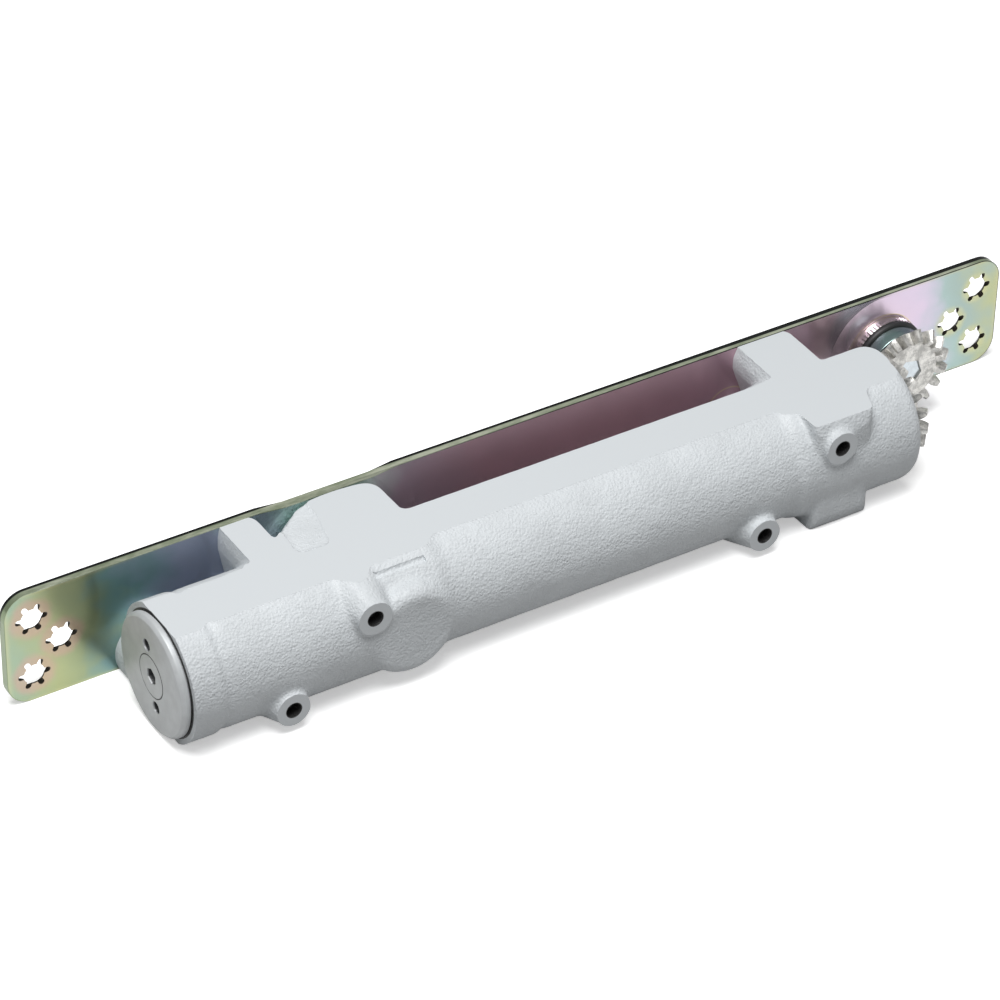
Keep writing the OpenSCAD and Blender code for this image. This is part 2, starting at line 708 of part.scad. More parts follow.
// Heart cam: the rollers' axes follow a curve that rises evenly with the angle, so that two
// rollers on opposite sides stay the same distance apart
function cam_half() = let (reach = roller_r + run_gap, steps = 96)
    [for (i = [0 : steps])
        let (
            a = 180 * i / steps,
            r = cam_min + cam_rise * a * PI / 180,
            slope = norm([r, cam_rise]),
            out = r - reach * r / slope,
            side = reach * cam_rise / slope,
            p = [out * cos(a) - side * sin(a), out * sin(a) + side * cos(a)]
        )
        if (p.y > 0.02) p];

// Hollow in which the spring roller rests when the door is shut
function cam_hollow() = let (
        reach = roller_r + run_gap,
        spread = atan(cam_rise / cam_min)
    )
    [for (i = [-5 : 5]) [cam_min - reach * cos(spread * i / 6), reach * sin(spread * i / 6)]];

module cam() {
    half = cam_half();
    n = len(half);
    polygon(concat(cam_hollow(), half, [for (i = [n - 1 : -1 : 0]) [half[i].x, -half[i].y]]));
}

module cam_spindle() color([0.66, 0.67, 0.7]) inward(0, spindle_x) difference() {
    union() {
        rod(spindle_r, dish_inner - 0.4, body_depth - cam_t / 2 + 0.01);
        rod(spindle_r, body_depth + cam_t / 2 - 0.01, lower_pocket_end - lower_race_len - 0.6);
        rod(lower_journal_r, body_depth + cam_t / 2, lower_pocket_end - 0.2);
        translate([0, 0, 0.4]) linear_extrude(dish_inner) square(square_w, center = true);
        translate([0, 0, body_depth - cam_t / 2]) linear_extrude(cam_t) cam();
    }
    rod(tapped_r, -1, 0.4 + tapped_len);
}

// Two ears that hold a roller pin: the pin's axis is at the origin and the piston lies towards +Z
module ears(length) {
    for (side = [-1, 1]) translate([0, side * (ear_gap + ear_t / 2), 0]) rotate([90, 0, 0]) difference() {
        union() {
            cylinder(r = roller_pin_r + 1.5, h = ear_t, center = true);
            translate([-ear_w / 2, 2, -ear_t / 2]) cube([ear_w, length - 2, ear_t]);
            translate([-roller_pin_r - 1.5, 0, -ear_t / 2]) cube([2 * roller_pin_r + 3, 3, ear_t]);
        }
        cylinder(r = roller_pin_r + fit_gap, h = ear_t + 2, center = true);
    }
}

module roller(x) {
    translate([x, -body_depth, 0]) rotate([90, 0, 0])
        translate([0, 0, -roller_t / 2]) ring(roller_r, roller_pin_r + run_gap, 0, roller_t);
}

module roller_pin(x) {
    translate([x, -body_depth, 0]) rotate([90, 0, 0])
        cylinder(r = roller_pin_r, h = 2 * ear_reach - 0.2, center = true);
}

seal_groove_w = 2.2;
seal_groove_deep = 1.9;

// Sealing groove round a piston, with its near side at height a
module seal_groove(a) {
    ring(bore_r + 1, piston_r - seal_groove_deep, a, a + seal_groove_w);
}

module piston_seal(a) {
    ring(bore_r - fit_gap, piston_r - seal_groove_deep + fit_gap, a + 0.1, a + seal_groove_w - 0.1);
}

check_hole_r = 2;
check_ball_r = check_hole_r - run_gap;
check_seat_r = 1;

module spring_piston() color([0.55, 0.56, 0.6]) {
    length = spring_piston_len;
    guide_len = 6;
    along_body(spring_piston_x) difference() {
        union() {
            rod(piston_r, 0, length);
            rod(spring_r - spring_wire_r - 0.3, length, length + guide_len);
        }
        seal_groove(length - 6);
        rod(check_seat_r, -1, length);
        rod(check_hole_r, length / 2, length + guide_len + 1);
    }
    along_body(spring_roller_x) ears(spring_piston_x - spring_roller_x + 0.01);
}

module spring_roller() color([0.75, 0.75, 0.77]) roller(spring_roller_x);
module spring_roller_pin() color([0.7, 0.7, 0.72]) roller_pin(spring_roller_x);
module spring_piston_seal() color([0.15, 0.15, 0.15]) along_body(spring_piston_x) piston_seal(spring_piston_len - 6);

function ball_seat() = sqrt(check_ball_r * check_ball_r - check_seat_r * check_seat_r) + 0.01;

module spring_check_ball() color([0.8, 0.8, 0.82])
    along_body(spring_piston_x + spring_piston_len / 2 + ball_seat()) sphere(r = check_ball_r);

module closing_spring() color([0.35, 0.36, 0.38]) along_body()
    coil(spring_r, spring_wire_r, spring_turns, spring_seat_x + 0.05, nut_x - 0.05);

module damping_piston() color([0.55, 0.56, 0.6]) {
    mirrored = damping_roller_x - damping_piston_x;
    along_body(damping_back_x) difference() {
        rod(piston_r, 0, damping_piston_len);
        seal_groove(damping_piston_len - 4);
        rod(pocket_r, -1, pocket_len);
        rod(check_seat_r, 0, damping_piston_len + 1);
        rod(check_hole_r, 0, pocket_len + 3);
    }
    along_body(damping_roller_x) rotate([180, 0, 0]) ears(mirrored + 0.01);
}

module damping_roller() color([0.75, 0.75, 0.77]) roller(damping_roller_x);
module damping_roller_pin() color([0.7, 0.7, 0.72]) roller_pin(damping_roller_x);
module damping_piston_seal() color([0.15, 0.15, 0.15])
    along_body(damping_back_x) piston_seal(damping_piston_len - 4);
module damping_check_ball() color([0.8, 0.8, 0.82])
    along_body(damping_back_x + pocket_len + 3 - ball_seat()) sphere(r = check_ball_r);

module return_spring() color([0.5, 0.5, 0.53]) along_body()
    coil(return_r, return_wire_r, return_turns, cap_inner_x - 3.95, damping_back_x + pocket_len - 0.05);

module spring_nut() color([0.6, 0.56, 0.4]) along_body() difference() {
    rod(piston_r, nut_x, nut_x + nut_t);
    rod(screw_r + run_gap, nut_x - 1, nut_x + nut_t + 1);
    for (side = [0, 180]) rotate(side) translate([piston_r - 1.4, -2, nut_x - 1]) cube([4, 4, nut_t + 2]);
}

module adjusting_screw() color([0.7, 0.7, 0.72]) along_body() {
    ring_x = adjuster_x - hub_face + 0.05;
    rod(screw_r, screw_tip_x, flange_x);
    rod(flange_r, flange_x, flange_x + flange_t);
    difference() {
        rod(screw_journal_r, flange_x + flange_t, ring_x + 2);
        ring(screw_journal_r + 1, screw_journal_r - screw_groove_deep, screw_groove_x,
            screw_groove_x + screw_groove_w);
        ring(screw_journal_r + 1, screw_journal_r - ring_groove, ring_x, ring_x + ring_t + 0.1);
    }
}

module thrust_washer() color([0.72, 0.6, 0.35]) along_body()
    ring(washer_r, screw_journal_r + run_gap, spring_end_x - washer_t + 0.02, spring_end_x - 0.02);

module screw_seal() color([0.12, 0.12, 0.12]) along_body(screw_groove_x + screw_groove_w / 2)
    o_ring(screw_journal_r - screw_groove_deep / 2 + 0.02, screw_groove_deep / 2);

module gear_retaining_ring() color([0.3, 0.3, 0.32]) along_body(adjuster_x - hub_face + 0.1) difference() {
    ring(screw_journal_r + ring_w, screw_journal_r - ring_groove + fit_gap, 0, ring_t);
    translate([0, -ring_w / 2, -1]) cube([screw_journal_r + 3, ring_w, 3]);
}

// Half angle of a tooth, seen from the gear's axis, at the distance s along the back cone
function tooth_half(s) = let (
        base = cone_dist * cos(20),
        roll = s > base ? acos(base / s) : 0,
        start = tan(20) * 180 / PI - 20,
        gained = start - (tan(roll) * 180 / PI - roll),
        pitch_half = 90 / gear_teeth * cos(cone_angle) - backlash / 2 / cone_dist * 180 / PI
    )
    (pitch_half + gained) / cos(cone_angle);

// A point of the tooth surface: a is the angle about the axis, s the distance along the back
// cone and share the scale towards the point where the axes meet
function tooth_point(a, s, share) = let (
        off = s - cone_dist,
        r = (pitch_r + off * cos(cone_angle)) * share,
        h = (pitch_r - off * sin(cone_angle)) * share
    )
    [r * cos(a), r * sin(a), h];

function tooth_ring(share) = let (
        root = cone_dist - dedendum,
        tip = cone_dist + addendum,
        levels = [root, cone_dist - 0.35 * dedendum, cone_dist + 0.35 * addendum, tip]
    )
    [for (i = [0 : gear_teeth - 1]) let (mid = 360 * i / gear_teeth) each concat(
        [for (s = levels) tooth_point(mid - tooth_half(s), s, share)],
        [for (k = [3 : -1 : 0]) tooth_point(mid + tooth_half(levels[k]), levels[k], share)],
        [tooth_point(mid + 180 / gear_teeth, root, share)]
    )];

// Straight bevel gear as one closed surface, with its axis along +Z and its small end nearest
// the point where the axes meet, at the origin
module bevel_body() {
    large = tooth_ring(1);
    small = tooth_ring(inner_share);
    n = len(large);
    face_r = norm([small[0].x, small[0].y]) - 0.3;
    back_r = norm([large[0].x, large[0].y]) - 1.2;
    around = [for (p = large) atan2(p.y, p.x)];
    face = [for (a = around) [face_r * cos(a), face_r * sin(a), hub_face]];
    back = [for (a = around) [back_r * cos(a), back_r * sin(a), hub_back]];
    points = concat([[0, 0, hub_face]], face, small, large, back, [[0, 0, hub_back]]);
    last = len(points) - 1;
    faces = concat(
        [for (i = [0 : n - 1]) [0, 1 + i, 1 + (i + 1) % n]],
        [for (k = [0 : 2], i = [0 : n - 1]) let (a = 1 + k * n + i, b = 1 + k * n + (i + 1) % n)
            each [[a, a + n, b], [b, a + n, b + n]]],
        [for (i = [0 : n - 1]) [last, 1 + 3 * n + (i + 1) % n, 1 + 3 * n + i]]
    );
    polyhedron(points, faces, convexity = 10);
}

module spring_gear() color([0.72, 0.71, 0.68]) translate([adjuster_x, -body_depth, 0])
    rotate([0, -90, 0]) difference() {
        bevel_body();
        rod(screw_journal_r + fit_gap, 0, 2 * pitch_r);
    }

module adjuster_gear() color([0.72, 0.71, 0.68]) translate([adjuster_x, -body_depth, 0])
    rotate([-90, 0, 0]) rotate(adjuster_gear_turn) difference() {
        bevel_body();
        cylinder(r = hex_r + 0.05, h = 2 * pitch_r, $fn = 6);
    }

module adjuster_bush() color([0.75, 0.72, 0.66]) inward(0, adjuster_x) difference() {
    union() {
        rod(spigot_r + rivet_lip, dish_depth - 0.8, dish_depth);
        rod(spigot_r, dish_depth - 0.8, dish_inner);
        rod(bush_r, dish_inner, bush_groove[0]);
        rod(bush_r - bush_groove_deep, bush_groove[0], bush_groove[1]);
        rod(bush_r - 0.6, bush_groove[1], bush_end);
    }
    rod(adjuster_r + run_gap, -1, bush_end + 1);
    rod(adjuster_r + 1.55, -1, dish_depth + 1.2);
}

module adjuster_seal() color([0.05, 0.05, 0.05])
    inward((bush_groove[0] + bush_groove[1]) / 2, adjuster_x) o_ring(bush_r - bush_groove_deep + bush_seal_r, bush_seal_r - 0.07);

module adjuster_washer() color([0.6, 0.6, 0.6]) inward(0, adjuster_x)
    ring(spigot_r, adjuster_r + run_gap, bush_end + 0.05, bush_end + 0.05 + gear_washer_t);

module adjuster_shaft() color([0.78, 0.82, 0.84]) inward(0, adjuster_x) difference() {
    union() {
        rod(adjuster_r + 1.5, dish_depth - 0.4, dish_depth + 1.1);
        rod(adjuster_r, dish_depth, body_depth - hub_back - 0.05);
        rotate(-adjuster_gear_turn) translate([0, 0, dish_depth + 2])
            cylinder(r = hex_r, h = body_depth - hub_face - 0.6 - dish_depth - 2, $fn = 6);
    }
    translate([0, 0, -1]) cylinder(r = key_w / 2 / cos(30), h = key_depth + 1, $fn = 6);
}

valve_ring_r = 0.3;

// A regulating valve with a driver slot, a sealing groove and a pointed end
module valve(place) inward(plate_t + 0.8, place[0], place[1]) difference() {
    union() {
        rod(valve_r, 0, valve_len - 1.5);
        translate([0, 0, valve_len - 1.5]) cylinder(r1 = valve_r, r2 = 0.6, h = 1.5);
    }
    ring(valve_r + 1, valve_r - 0.52, 4, 4.8);
    translate([-0.4, -valve_r - 1, -1]) cube([0.8, 2 * valve_r + 2, 2]);
}

module closing_valve() color([0.76, 0.7, 0.5]) valve(valve_places[0]);
module latching_valve() color([0.76, 0.7, 0.5]) valve(valve_places[1]);
module backcheck_valve() color([0.76, 0.7, 0.5]) valve(valve_places[2]);
module valve_seals() color([0.1, 0.1, 0.1]) for (p = valve_places)
    inward(plate_t + 0.8 + 4.4, p[0], p[1]) o_ring(valve_hole_r - valve_ring_r + 0.01, valve_ring_r - 0.04);

mounting_plate();
plate_screws();
housing();
channel_plugs();
end_cap();
cap_center_plug();
cap_seal_ring();
bearing_carrier();
upper_bearing_race();
upper_needles();
lower_bearing_race();
lower_needles();
spindle_seal();
cam_spindle();
spring_piston();
spring_roller();
spring_roller_pin();
spring_piston_seal();
spring_check_ball();
closing_spring();
damping_piston();
damping_roller();
damping_roller_pin();
damping_piston_seal();
damping_check_ball();
return_spring();
spring_nut();
adjusting_screw();
thrust_washer();
screw_seal();
spring_gear();
gear_retaining_ring();
adjuster_bush();
adjuster_seal();
adjuster_washer();
adjuster_gear();
adjuster_shaft();
closing_valve();
latching_valve();
backcheck_valve();
valve_seals();
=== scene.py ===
"""Dresses the concealed door closer: the cast body, the zinc-passivated faceplate, the bevel gears
and the pieces inside, with their finishes, and the table and light round them."""

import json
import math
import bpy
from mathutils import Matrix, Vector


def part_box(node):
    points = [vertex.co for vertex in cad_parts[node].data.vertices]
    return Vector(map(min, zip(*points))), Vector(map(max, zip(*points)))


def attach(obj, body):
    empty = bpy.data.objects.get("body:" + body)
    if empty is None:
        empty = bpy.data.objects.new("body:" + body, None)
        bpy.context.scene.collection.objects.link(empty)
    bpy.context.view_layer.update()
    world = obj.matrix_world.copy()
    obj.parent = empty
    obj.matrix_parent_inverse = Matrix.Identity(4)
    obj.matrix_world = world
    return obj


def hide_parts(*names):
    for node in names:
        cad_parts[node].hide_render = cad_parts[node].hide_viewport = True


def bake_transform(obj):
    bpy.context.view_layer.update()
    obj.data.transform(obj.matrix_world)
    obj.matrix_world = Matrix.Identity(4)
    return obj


bl_info = {
    "name": "Concealed door closer",
    "version": (1, 0, 0),
    "blender": (4, 5, 0),
    "location": "3D View > Sidebar > Closer",
    "description": "Dresses a concealed door closer and its faceplate",
    "category": "Object",
}

import bmesh
import bpy
import numpy as np
from bpy.props import FloatProperty, FloatVectorProperty, IntProperty, PointerProperty
from mathutils import Matrix, Vector, noise

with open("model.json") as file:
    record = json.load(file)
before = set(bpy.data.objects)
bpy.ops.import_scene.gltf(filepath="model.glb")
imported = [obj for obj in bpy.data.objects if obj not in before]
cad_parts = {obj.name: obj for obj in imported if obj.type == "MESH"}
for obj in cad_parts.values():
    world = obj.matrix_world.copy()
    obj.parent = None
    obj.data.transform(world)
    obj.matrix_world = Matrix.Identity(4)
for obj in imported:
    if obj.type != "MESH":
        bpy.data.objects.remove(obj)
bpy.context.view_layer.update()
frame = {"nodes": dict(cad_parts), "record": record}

MM = 0.001
RECORD = frame["record"]
BODY_OF = {node: body for body, nodes in RECORD["behaviour"]["bodies"].items() for node in nodes}
SLOT_OF = {part["node"]: part["material_slot"] for part in RECORD["subparts"]}

# Places and sizes in millimetres, as the solids have them. The faceplate's outer face is at Y = 0, and
# depths run into the door from there.

# Faceplate: half its length and width, its corners' radius, the rings round its dishes as (x, z, radius)
PLATE_HALF = (145.5, 16.0)
PLATE_CORNER = 6.5
PLATE_THICKNESS = 2.5
PLATE_RINGS = ((60.1, -2.5, 6.6), (107.5, 0, 10.45))
STAR_HOLES = [(side * x, z) for side in (-1, 1) for x, z in ((138.3, 8.3), (138.3, -8.3), (130.7, 0))]
STAR_RADIUS = 6.2
DISH_RADII = (25.0, 20.0)
DISH_DEPTH = 3.5

# Body: its axis, ends, flats and bosses' faces
BODY_DEPTH = 26.7
BODY_LEFT = -117.0
BODY_RIGHT = 92.5
FLAT_Z = 15.9
FACE_DEPTH = 44.8
SPINDLE_X = -57.5
FOOT = (-107.5, -11.7)
FOOT_RADIUS = 9.3

# Lobes that carry the faceplate: left and right side, and depth of their tops
NARROW_LOBE = (-88.2, -78.8)
WIDE_LOBE = (62.2, 77.9)
LOBE_TOP = 1.5

# Places and radii of what is drilled into the body
BOSSES = ((-68.8, 9.3), (65.9, 9.3), (-91.2, -9.3), (43.5, -9.3))
BOSS_BORE = 2.1
SCREWS = ((-83.5, 0), (70.05, 9.3), (70.05, -9.3))
SCREW_BORE = 1.97
VALVES = ((-83.5, 9.3), (-83.5, -9.3), (70.05, 0))
VALVE_BORE = 2.05

# Bores along the body and across it
CAP_THREAD = 15.2
CAP_THREAD_END = -105.5
MAIN_BORE = 13.5
MAIN_BORE_END = 78.5
GEAR_END_BORE = 4.55
CARRIER_BORE = 13.02
RACE_BORE = 8.49
RACE_END = 42.5

# Groove in the cast skin beside the round boss
GROOVE = (-64.2, -50.2)
GROOVE_RADIUS = 1.1
GROOVE_OFF_AXIS = 9.9

# Cap, adjuster and springs
CAP_RADIUS = 16.4
CAP_PLUG_RADIUS = 5.7
ADJUSTER_X = 107.5
COLLAR_RADIUS = 9.9
COLLAR_DEPTH = 5.6
SERRATION_RADIUS = 0.42
SERRATION_LENGTH = 1.3
CLOSING_WIRE = 2.1
RETURN_WIRE = 0.75

# How the casting is drawn before it is machined
PROUD = FLAT_Z + 2.5
BEYOND = 19.0
SKIN_DEPTH = 0.4
SKIN_PATCH = (
    (-64.6, -3, 0), (-64.2, 9, 4), (-67.2, 21.6, 2), (-76.8, 21.6, 2.5), (-75.6, 10, 0), (-75.6, -3, 0)
)

# Colours of the passivation along the faceplate, from its left end to its right
PLATE_FILM = (
    (0.00, (0.38, 0.50, 0.38)), (0.035, (0.44, 0.48, 0.26)), (0.075, (0.36, 0.42, 0.25)),
    (0.11, (0.23, 0.38, 0.38)), (0.16, (0.42, 0.46, 0.58)), (0.21, (0.42, 0.46, 0.58)),
    (0.26, (0.36, 0.52, 0.47)), (0.33, (0.40, 0.50, 0.44)), (0.38, (0.50, 0.40, 0.46)),
    (0.45, (0.56, 0.38, 0.43)), (0.60, (0.62, 0.42, 0.47)), (0.74, (0.62, 0.42, 0.49)),
    (0.80, (0.70, 0.54, 0.60)), (0.84, (0.86, 0.70, 0.82)), (0.90, (0.80, 0.68, 0.84)),
    (0.92, (0.64, 0.64, 0.74)), (0.945, (0.46, 0.60, 0.58)), (0.97, (0.44, 0.56, 0.52)),
    (1.00, (0.56, 0.60, 0.36)),
)

# Colours of the passivation along the bush, from the faceplate's outer face inwards
BUSH_FILM = (
    (0.0, (0.36, 0.29, 0.30)), (0.25, (0.38, 0.34, 0.33)), (0.50, (0.42, 0.40, 0.39)),
    (0.58, (0.26, 0.34, 0.32)), (0.75, (0.20, 0.30, 0.29)), (1.0, (0.36, 0.41, 0.40)),
)
BUSH_LENGTH = 15.0

# Tints on the faceplate: round the holes at the left and right, at its rim, on its rings, and a dark olive
# strip along its edge. Painted light: pale glints on that strip, a near-black painted dark reflection along
# the edge, and painted shade on the holes' walls. UNLIT is the near black of painted shade in bores and
# narrow slits.
HALO_TINTS = ((0.62, 0.40, 0.34), (0.74, 0.70, 0.34))
RIM_TINT = (0.66, 0.64, 0.38)
RING_TINT = (0.88, 0.74, 0.42)
STRIP_TINT_AND_GLINT = ((0.26, 0.32, 0.20), (0.70, 0.74, 0.58))
PAINTED_DARK_EDGE_LINE = (0.012, 0.016, 0.014)
HOLE_WALL_SHADE = (0.03, 0.025, 0.018)
UNLIT = (0.03, 0.03, 0.03)

# The photograph's camera, as its perspective gives it: place in metres, turns, sensor and lens in mm
CAMERA_PLACE = (-0.4985, -0.7797, 0.6810)
CAMERA_TURNS = [(math.radians(angle), axis) for angle, axis in ((-32.255, "Z"), (53.225, "X"), (1.09, "Z"))]
SENSOR_WIDTH = 36.0
FOCAL_LENGTH = 165.0708

# Half the table's width, and its height just under the faceplate, in metres
TABLE_REACH = 6.0
TABLE_LEVEL = -(PLATE_HALF[1] + 0.02) * MM


def metres(name, millimetres, words, low=0.0):
    """A length that is written in millimetres and kept in metres."""
    return FloatProperty(
        name=name, description=words, default=millimetres * MM, min=low, unit="LENGTH", precision=5
    )


def watts(name, value, words):
    """A lamp's power."""
    return FloatProperty(name=name, description=words, default=value, unit="POWER")


def rounds(name, value, words):
    """A number of things."""
    return IntProperty(name=name, description=words, default=value, min=0)


def tone(name, colour, words):
    """A colour."""
    return FloatVectorProperty(
        name=name, description=words, default=colour, subtype="COLOR", size=3, min=0, max=1
    )


def share(name, value, words):
    """A number from 0 to 1."""
    return FloatProperty(name=name, description=words, default=value, min=0, max=1, subtype="FACTOR")


class CastingSizes(bpy.types.PropertyGroup):
    grid: metres("Grid", 0.5, "Edge length of the mesh that the casting is drawn with", 0.0003)
    softening: rounds("Softening", 9, "Rounds of smoothing that give the casting its fillets")
    ring_radius: metres("End ring radius", 17.8, "Outer radius of the ring at the cap's end")
    left_radius: metres("Left radius", 17.4, "Outer radius round the damping cylinder")
    middle_radius: metres("Middle radius", 16.4, "Outer radius round the closing spring")
    right_radius: metres("Right radius", 17.4, "Outer radius at the gears' end")
    boss_radius: metres("Boss radius", 4.6, "Radius of the small bosses' machined faces")
    bearing_radius: metres("Bearing boss radius", 12.5, "Radius of the blind bearing boss")
    waviness: metres("Waviness", 0.05, "Height of the casting's uneven skin")


class FinishSizes(bpy.types.PropertyGroup):
    plate_edge: metres("Faceplate edge", 0.3, "Width of the faceplate's broken edges")
    turned_edge: metres("Turned edge", 0.15, "Width of the broken edges on turned pieces")
    tooth_edge: metres("Tooth edge", 0.14, "Width of the rounded edges on the gears")
    grain: metres("Cast grain", 0.46, "Size of the casting's grain")
    grain_height: metres("Cast grain height", 0.42, "Height of the casting's grain")
    serrations: rounds("Serrations", 60, "Serrations round the bush's collar")


class Colours(bpy.types.PropertyGroup):
    casting: tone("Casting", (0.60, 0.63, 0.65), "Paint on the cast body")
    steel: tone("Turned steel", (0.36, 0.375, 0.39), "Cap, plug and other turned steel")
    cap: tone("Cap", (0.50, 0.52, 0.53), "Turned face of the end cap and its plug")
    ground: tone("Ground steel", (0.62, 0.62, 0.64), "Rollers, needles, races and balls")
    hardened: tone("Hardened steel", (0.434, 0.434, 0.448), "Pistons, spindle and nut")
    sinter: tone("Sintered steel", (0.70, 0.69, 0.66), "Bevel gears")
    spring: tone("Spring steel", (0.09, 0.09, 0.10), "Coil springs and clips")
    rubber: tone("Rubber", (0.012, 0.012, 0.013), "Seals")
    brass: tone("Brass", (0.62, 0.46, 0.18), "Regulating valves")
    bronze: tone("Bronze", (0.50, 0.33, 0.15), "Thrust washer")
    zinc: tone("Zinc", (0.66, 0.72, 0.76), "Bright zinc on the adjuster's shaft")
    floor: tone("Floor", (0.95, 0.95, 0.95), "Table and backdrop")
    floor_lift: tone("Floor's lift", (0.42, 0.42, 0.42), "What is added to the table where the eye sees it")
    floor_bounce: tone("Floor's bounce", (0.32, 0.32, 0.32), "How much of its light the table sends back up")


class Lights(bpy.types.PropertyGroup):
    sky: share("Sky", 0.2, "Strength of the light from all round")
    mirrored: share("Mirrored sky", 0.5, "Strength of the surroundings in reflections")
    key: watts("Key light", 16.0, "Power of the large soft light")
    fill: watts("Fill light", 0.8, "Power of the light from the left")


GROUPS = {
    "closer_casting": CastingSizes,
    "closer_finish": FinishSizes,
    "closer_colours": Colours,
    "closer_lights": Lights,
}


# Shaders


def arithmetic(operation, swapped=False):
    """A wire's method for one kind of arithmetic."""
    def method(self, *others):
        values = (*others, self) if swapped else (self, *others)
        return self.finish.node("Math", {"operation": operation}, dict(enumerate(values)))
    return method


class Wire:
    """A shader socket that takes Python's arithmetic; each expression adds its Math nodes."""

    def __init__(self, finish, socket):
        self.finish = finish
        self.socket = socket

    __add__ = __radd__ = arithmetic("ADD")
    __sub__ = arithmetic("SUBTRACT")
    __rsub__ = arithmetic("SUBTRACT", swapped=True)
    __mul__ = __rmul__ = arithmetic("MULTIPLY")
    __truediv__ = arithmetic("DIVIDE")
    __rtruediv__ = arithmetic("DIVIDE", swapped=True)
    __pow__ = arithmetic("POWER")
    __abs__ = arithmetic("ABSOLUTE")
    least = arithmetic("MINIMUM")
    most = arithmetic("MAXIMUM")
    root = arithmetic("SQRT")

    def ramp(self, low, high):
        """0 below low, 1 above high, and smooth between them; low may be the larger."""
        return self.finish.node(
            "MapRange", {"interpolation_type": "SMOOTHSTEP"}, {0: self, 1: low, 2: high, 3: 0.0, 4: 1.0}
        )


class Shading:
    """A shader tree: one method makes its nodes, and its wires take Python's arithmetic."""

    def __init__(self, owner):
        owner.use_nodes = True
        self.tree = owner.node_tree

    def node(self, kind, settings=None, values=None, output=0):
        """Adds one node: its settings are made first, then its sockets get values or links."""
        made = self.tree.nodes.new("ShaderNode" + kind)
        for key, setting in (settings or {}).items():
            if key == "stops":
                self._set_stops(made.color_ramp, setting)
            else:
                setattr(made, key, setting)
        for key, value in (values or {}).items():
            self.plug(made.inputs[key], value)
        return Wire(self, made.outputs[output])

    def plug(self, socket, value):
        if isinstance(value, Wire):
            self.tree.links.new(value.socket, socket)
        elif socket.type == "RGBA":
            socket.default_value = (*value[:3], 1)
        else:
            socket.default_value = value

    @staticmethod
    def _set_stops(ramp, stops):
        while len(ramp.elements) < len(stops):
            ramp.elements.new(1)
        for element, (place, colour) in zip(ramp.elements, stops):
            element.position = place
            element.color = (*colour, 1)

    def mix(self, share_of_second, first, second):
        return self.node("Mix", {"data_type": "RGBA"}, {0: share_of_second, 6: first, 7: second}, output=2)

    def seen_by(self, *rays):
        """1 for the named kinds of ray, and 0 for the light that the surface bounces."""
        found = [self.node("LightPath", output=f"Is {ray} Ray") for ray in rays]
        return found[0].most(found[-1])


class Finish(Shading):
    """A material and the nodes that shape it."""

    def __init__(self, name, colour, roughness, metallic=0.0, coat=0.0):
        self.material = bpy.data.materials.new(name)
        super().__init__(self.material)
        self.shader = self.tree.nodes["Principled BSDF"]
        self.shader.inputs["Base Color"].default_value = (*colour, 1)
        self.shader.inputs["Roughness"].default_value = roughness
        self.shader.inputs["Metallic"].default_value = metallic
        self.shader.inputs["Coat Weight"].default_value = coat
        self.shader.inputs["Coat Roughness"].default_value = 0.15
        self.material.diffuse_color = (*colour, 1)
        self._place = None

    @property
    def place(self):
        """The point being shaded, in metres in the part's own frame."""
        if self._place is None:
            self._place = self.node("TexCoord", output=3)
        return self._place

    def axes(self):
        return [self.node("SeparateXYZ", values={0: self.place}, output=i) / MM for i in range(3)]

    def noise(self, size, detail=3.0, roughness=0.55, stretch=None):
        """Noise whose features are about size metres across."""
        where = self.place
        if stretch:
            where = self.node("Mapping", values={0: where, "Scale": stretch})
        return self.node(
            "TexNoise", values={"Vector": where, "Scale": 1 / size, "Detail": detail, "Roughness": roughness}
        )

    def bump(self, height, size, under=None):
        values = {"Distance": size, "Height": height}
        if under is not None:
            values["Normal"] = under
        return self.node("Bump", values=values)

    def give(self, **sockets):
        for name, value in sockets.items():
            self.plug(self.shader.inputs[name.replace("_", " ")], value)
        return self.material


def distance(x, z, places):
    """How far a point is from the nearest of some places on the faceplate."""
    nearest = None
    for place_x, place_z in places:
        away = ((x - place_x) ** 2 + (z - place_z) ** 2).root()
        nearest = away if nearest is None else nearest.least(away)
    return nearest


def shades(colour, *steps):
    """Lighter and darker forms of a colour."""
    return [tuple(min(1.0, channel * step) for channel in colour) for step in steps]


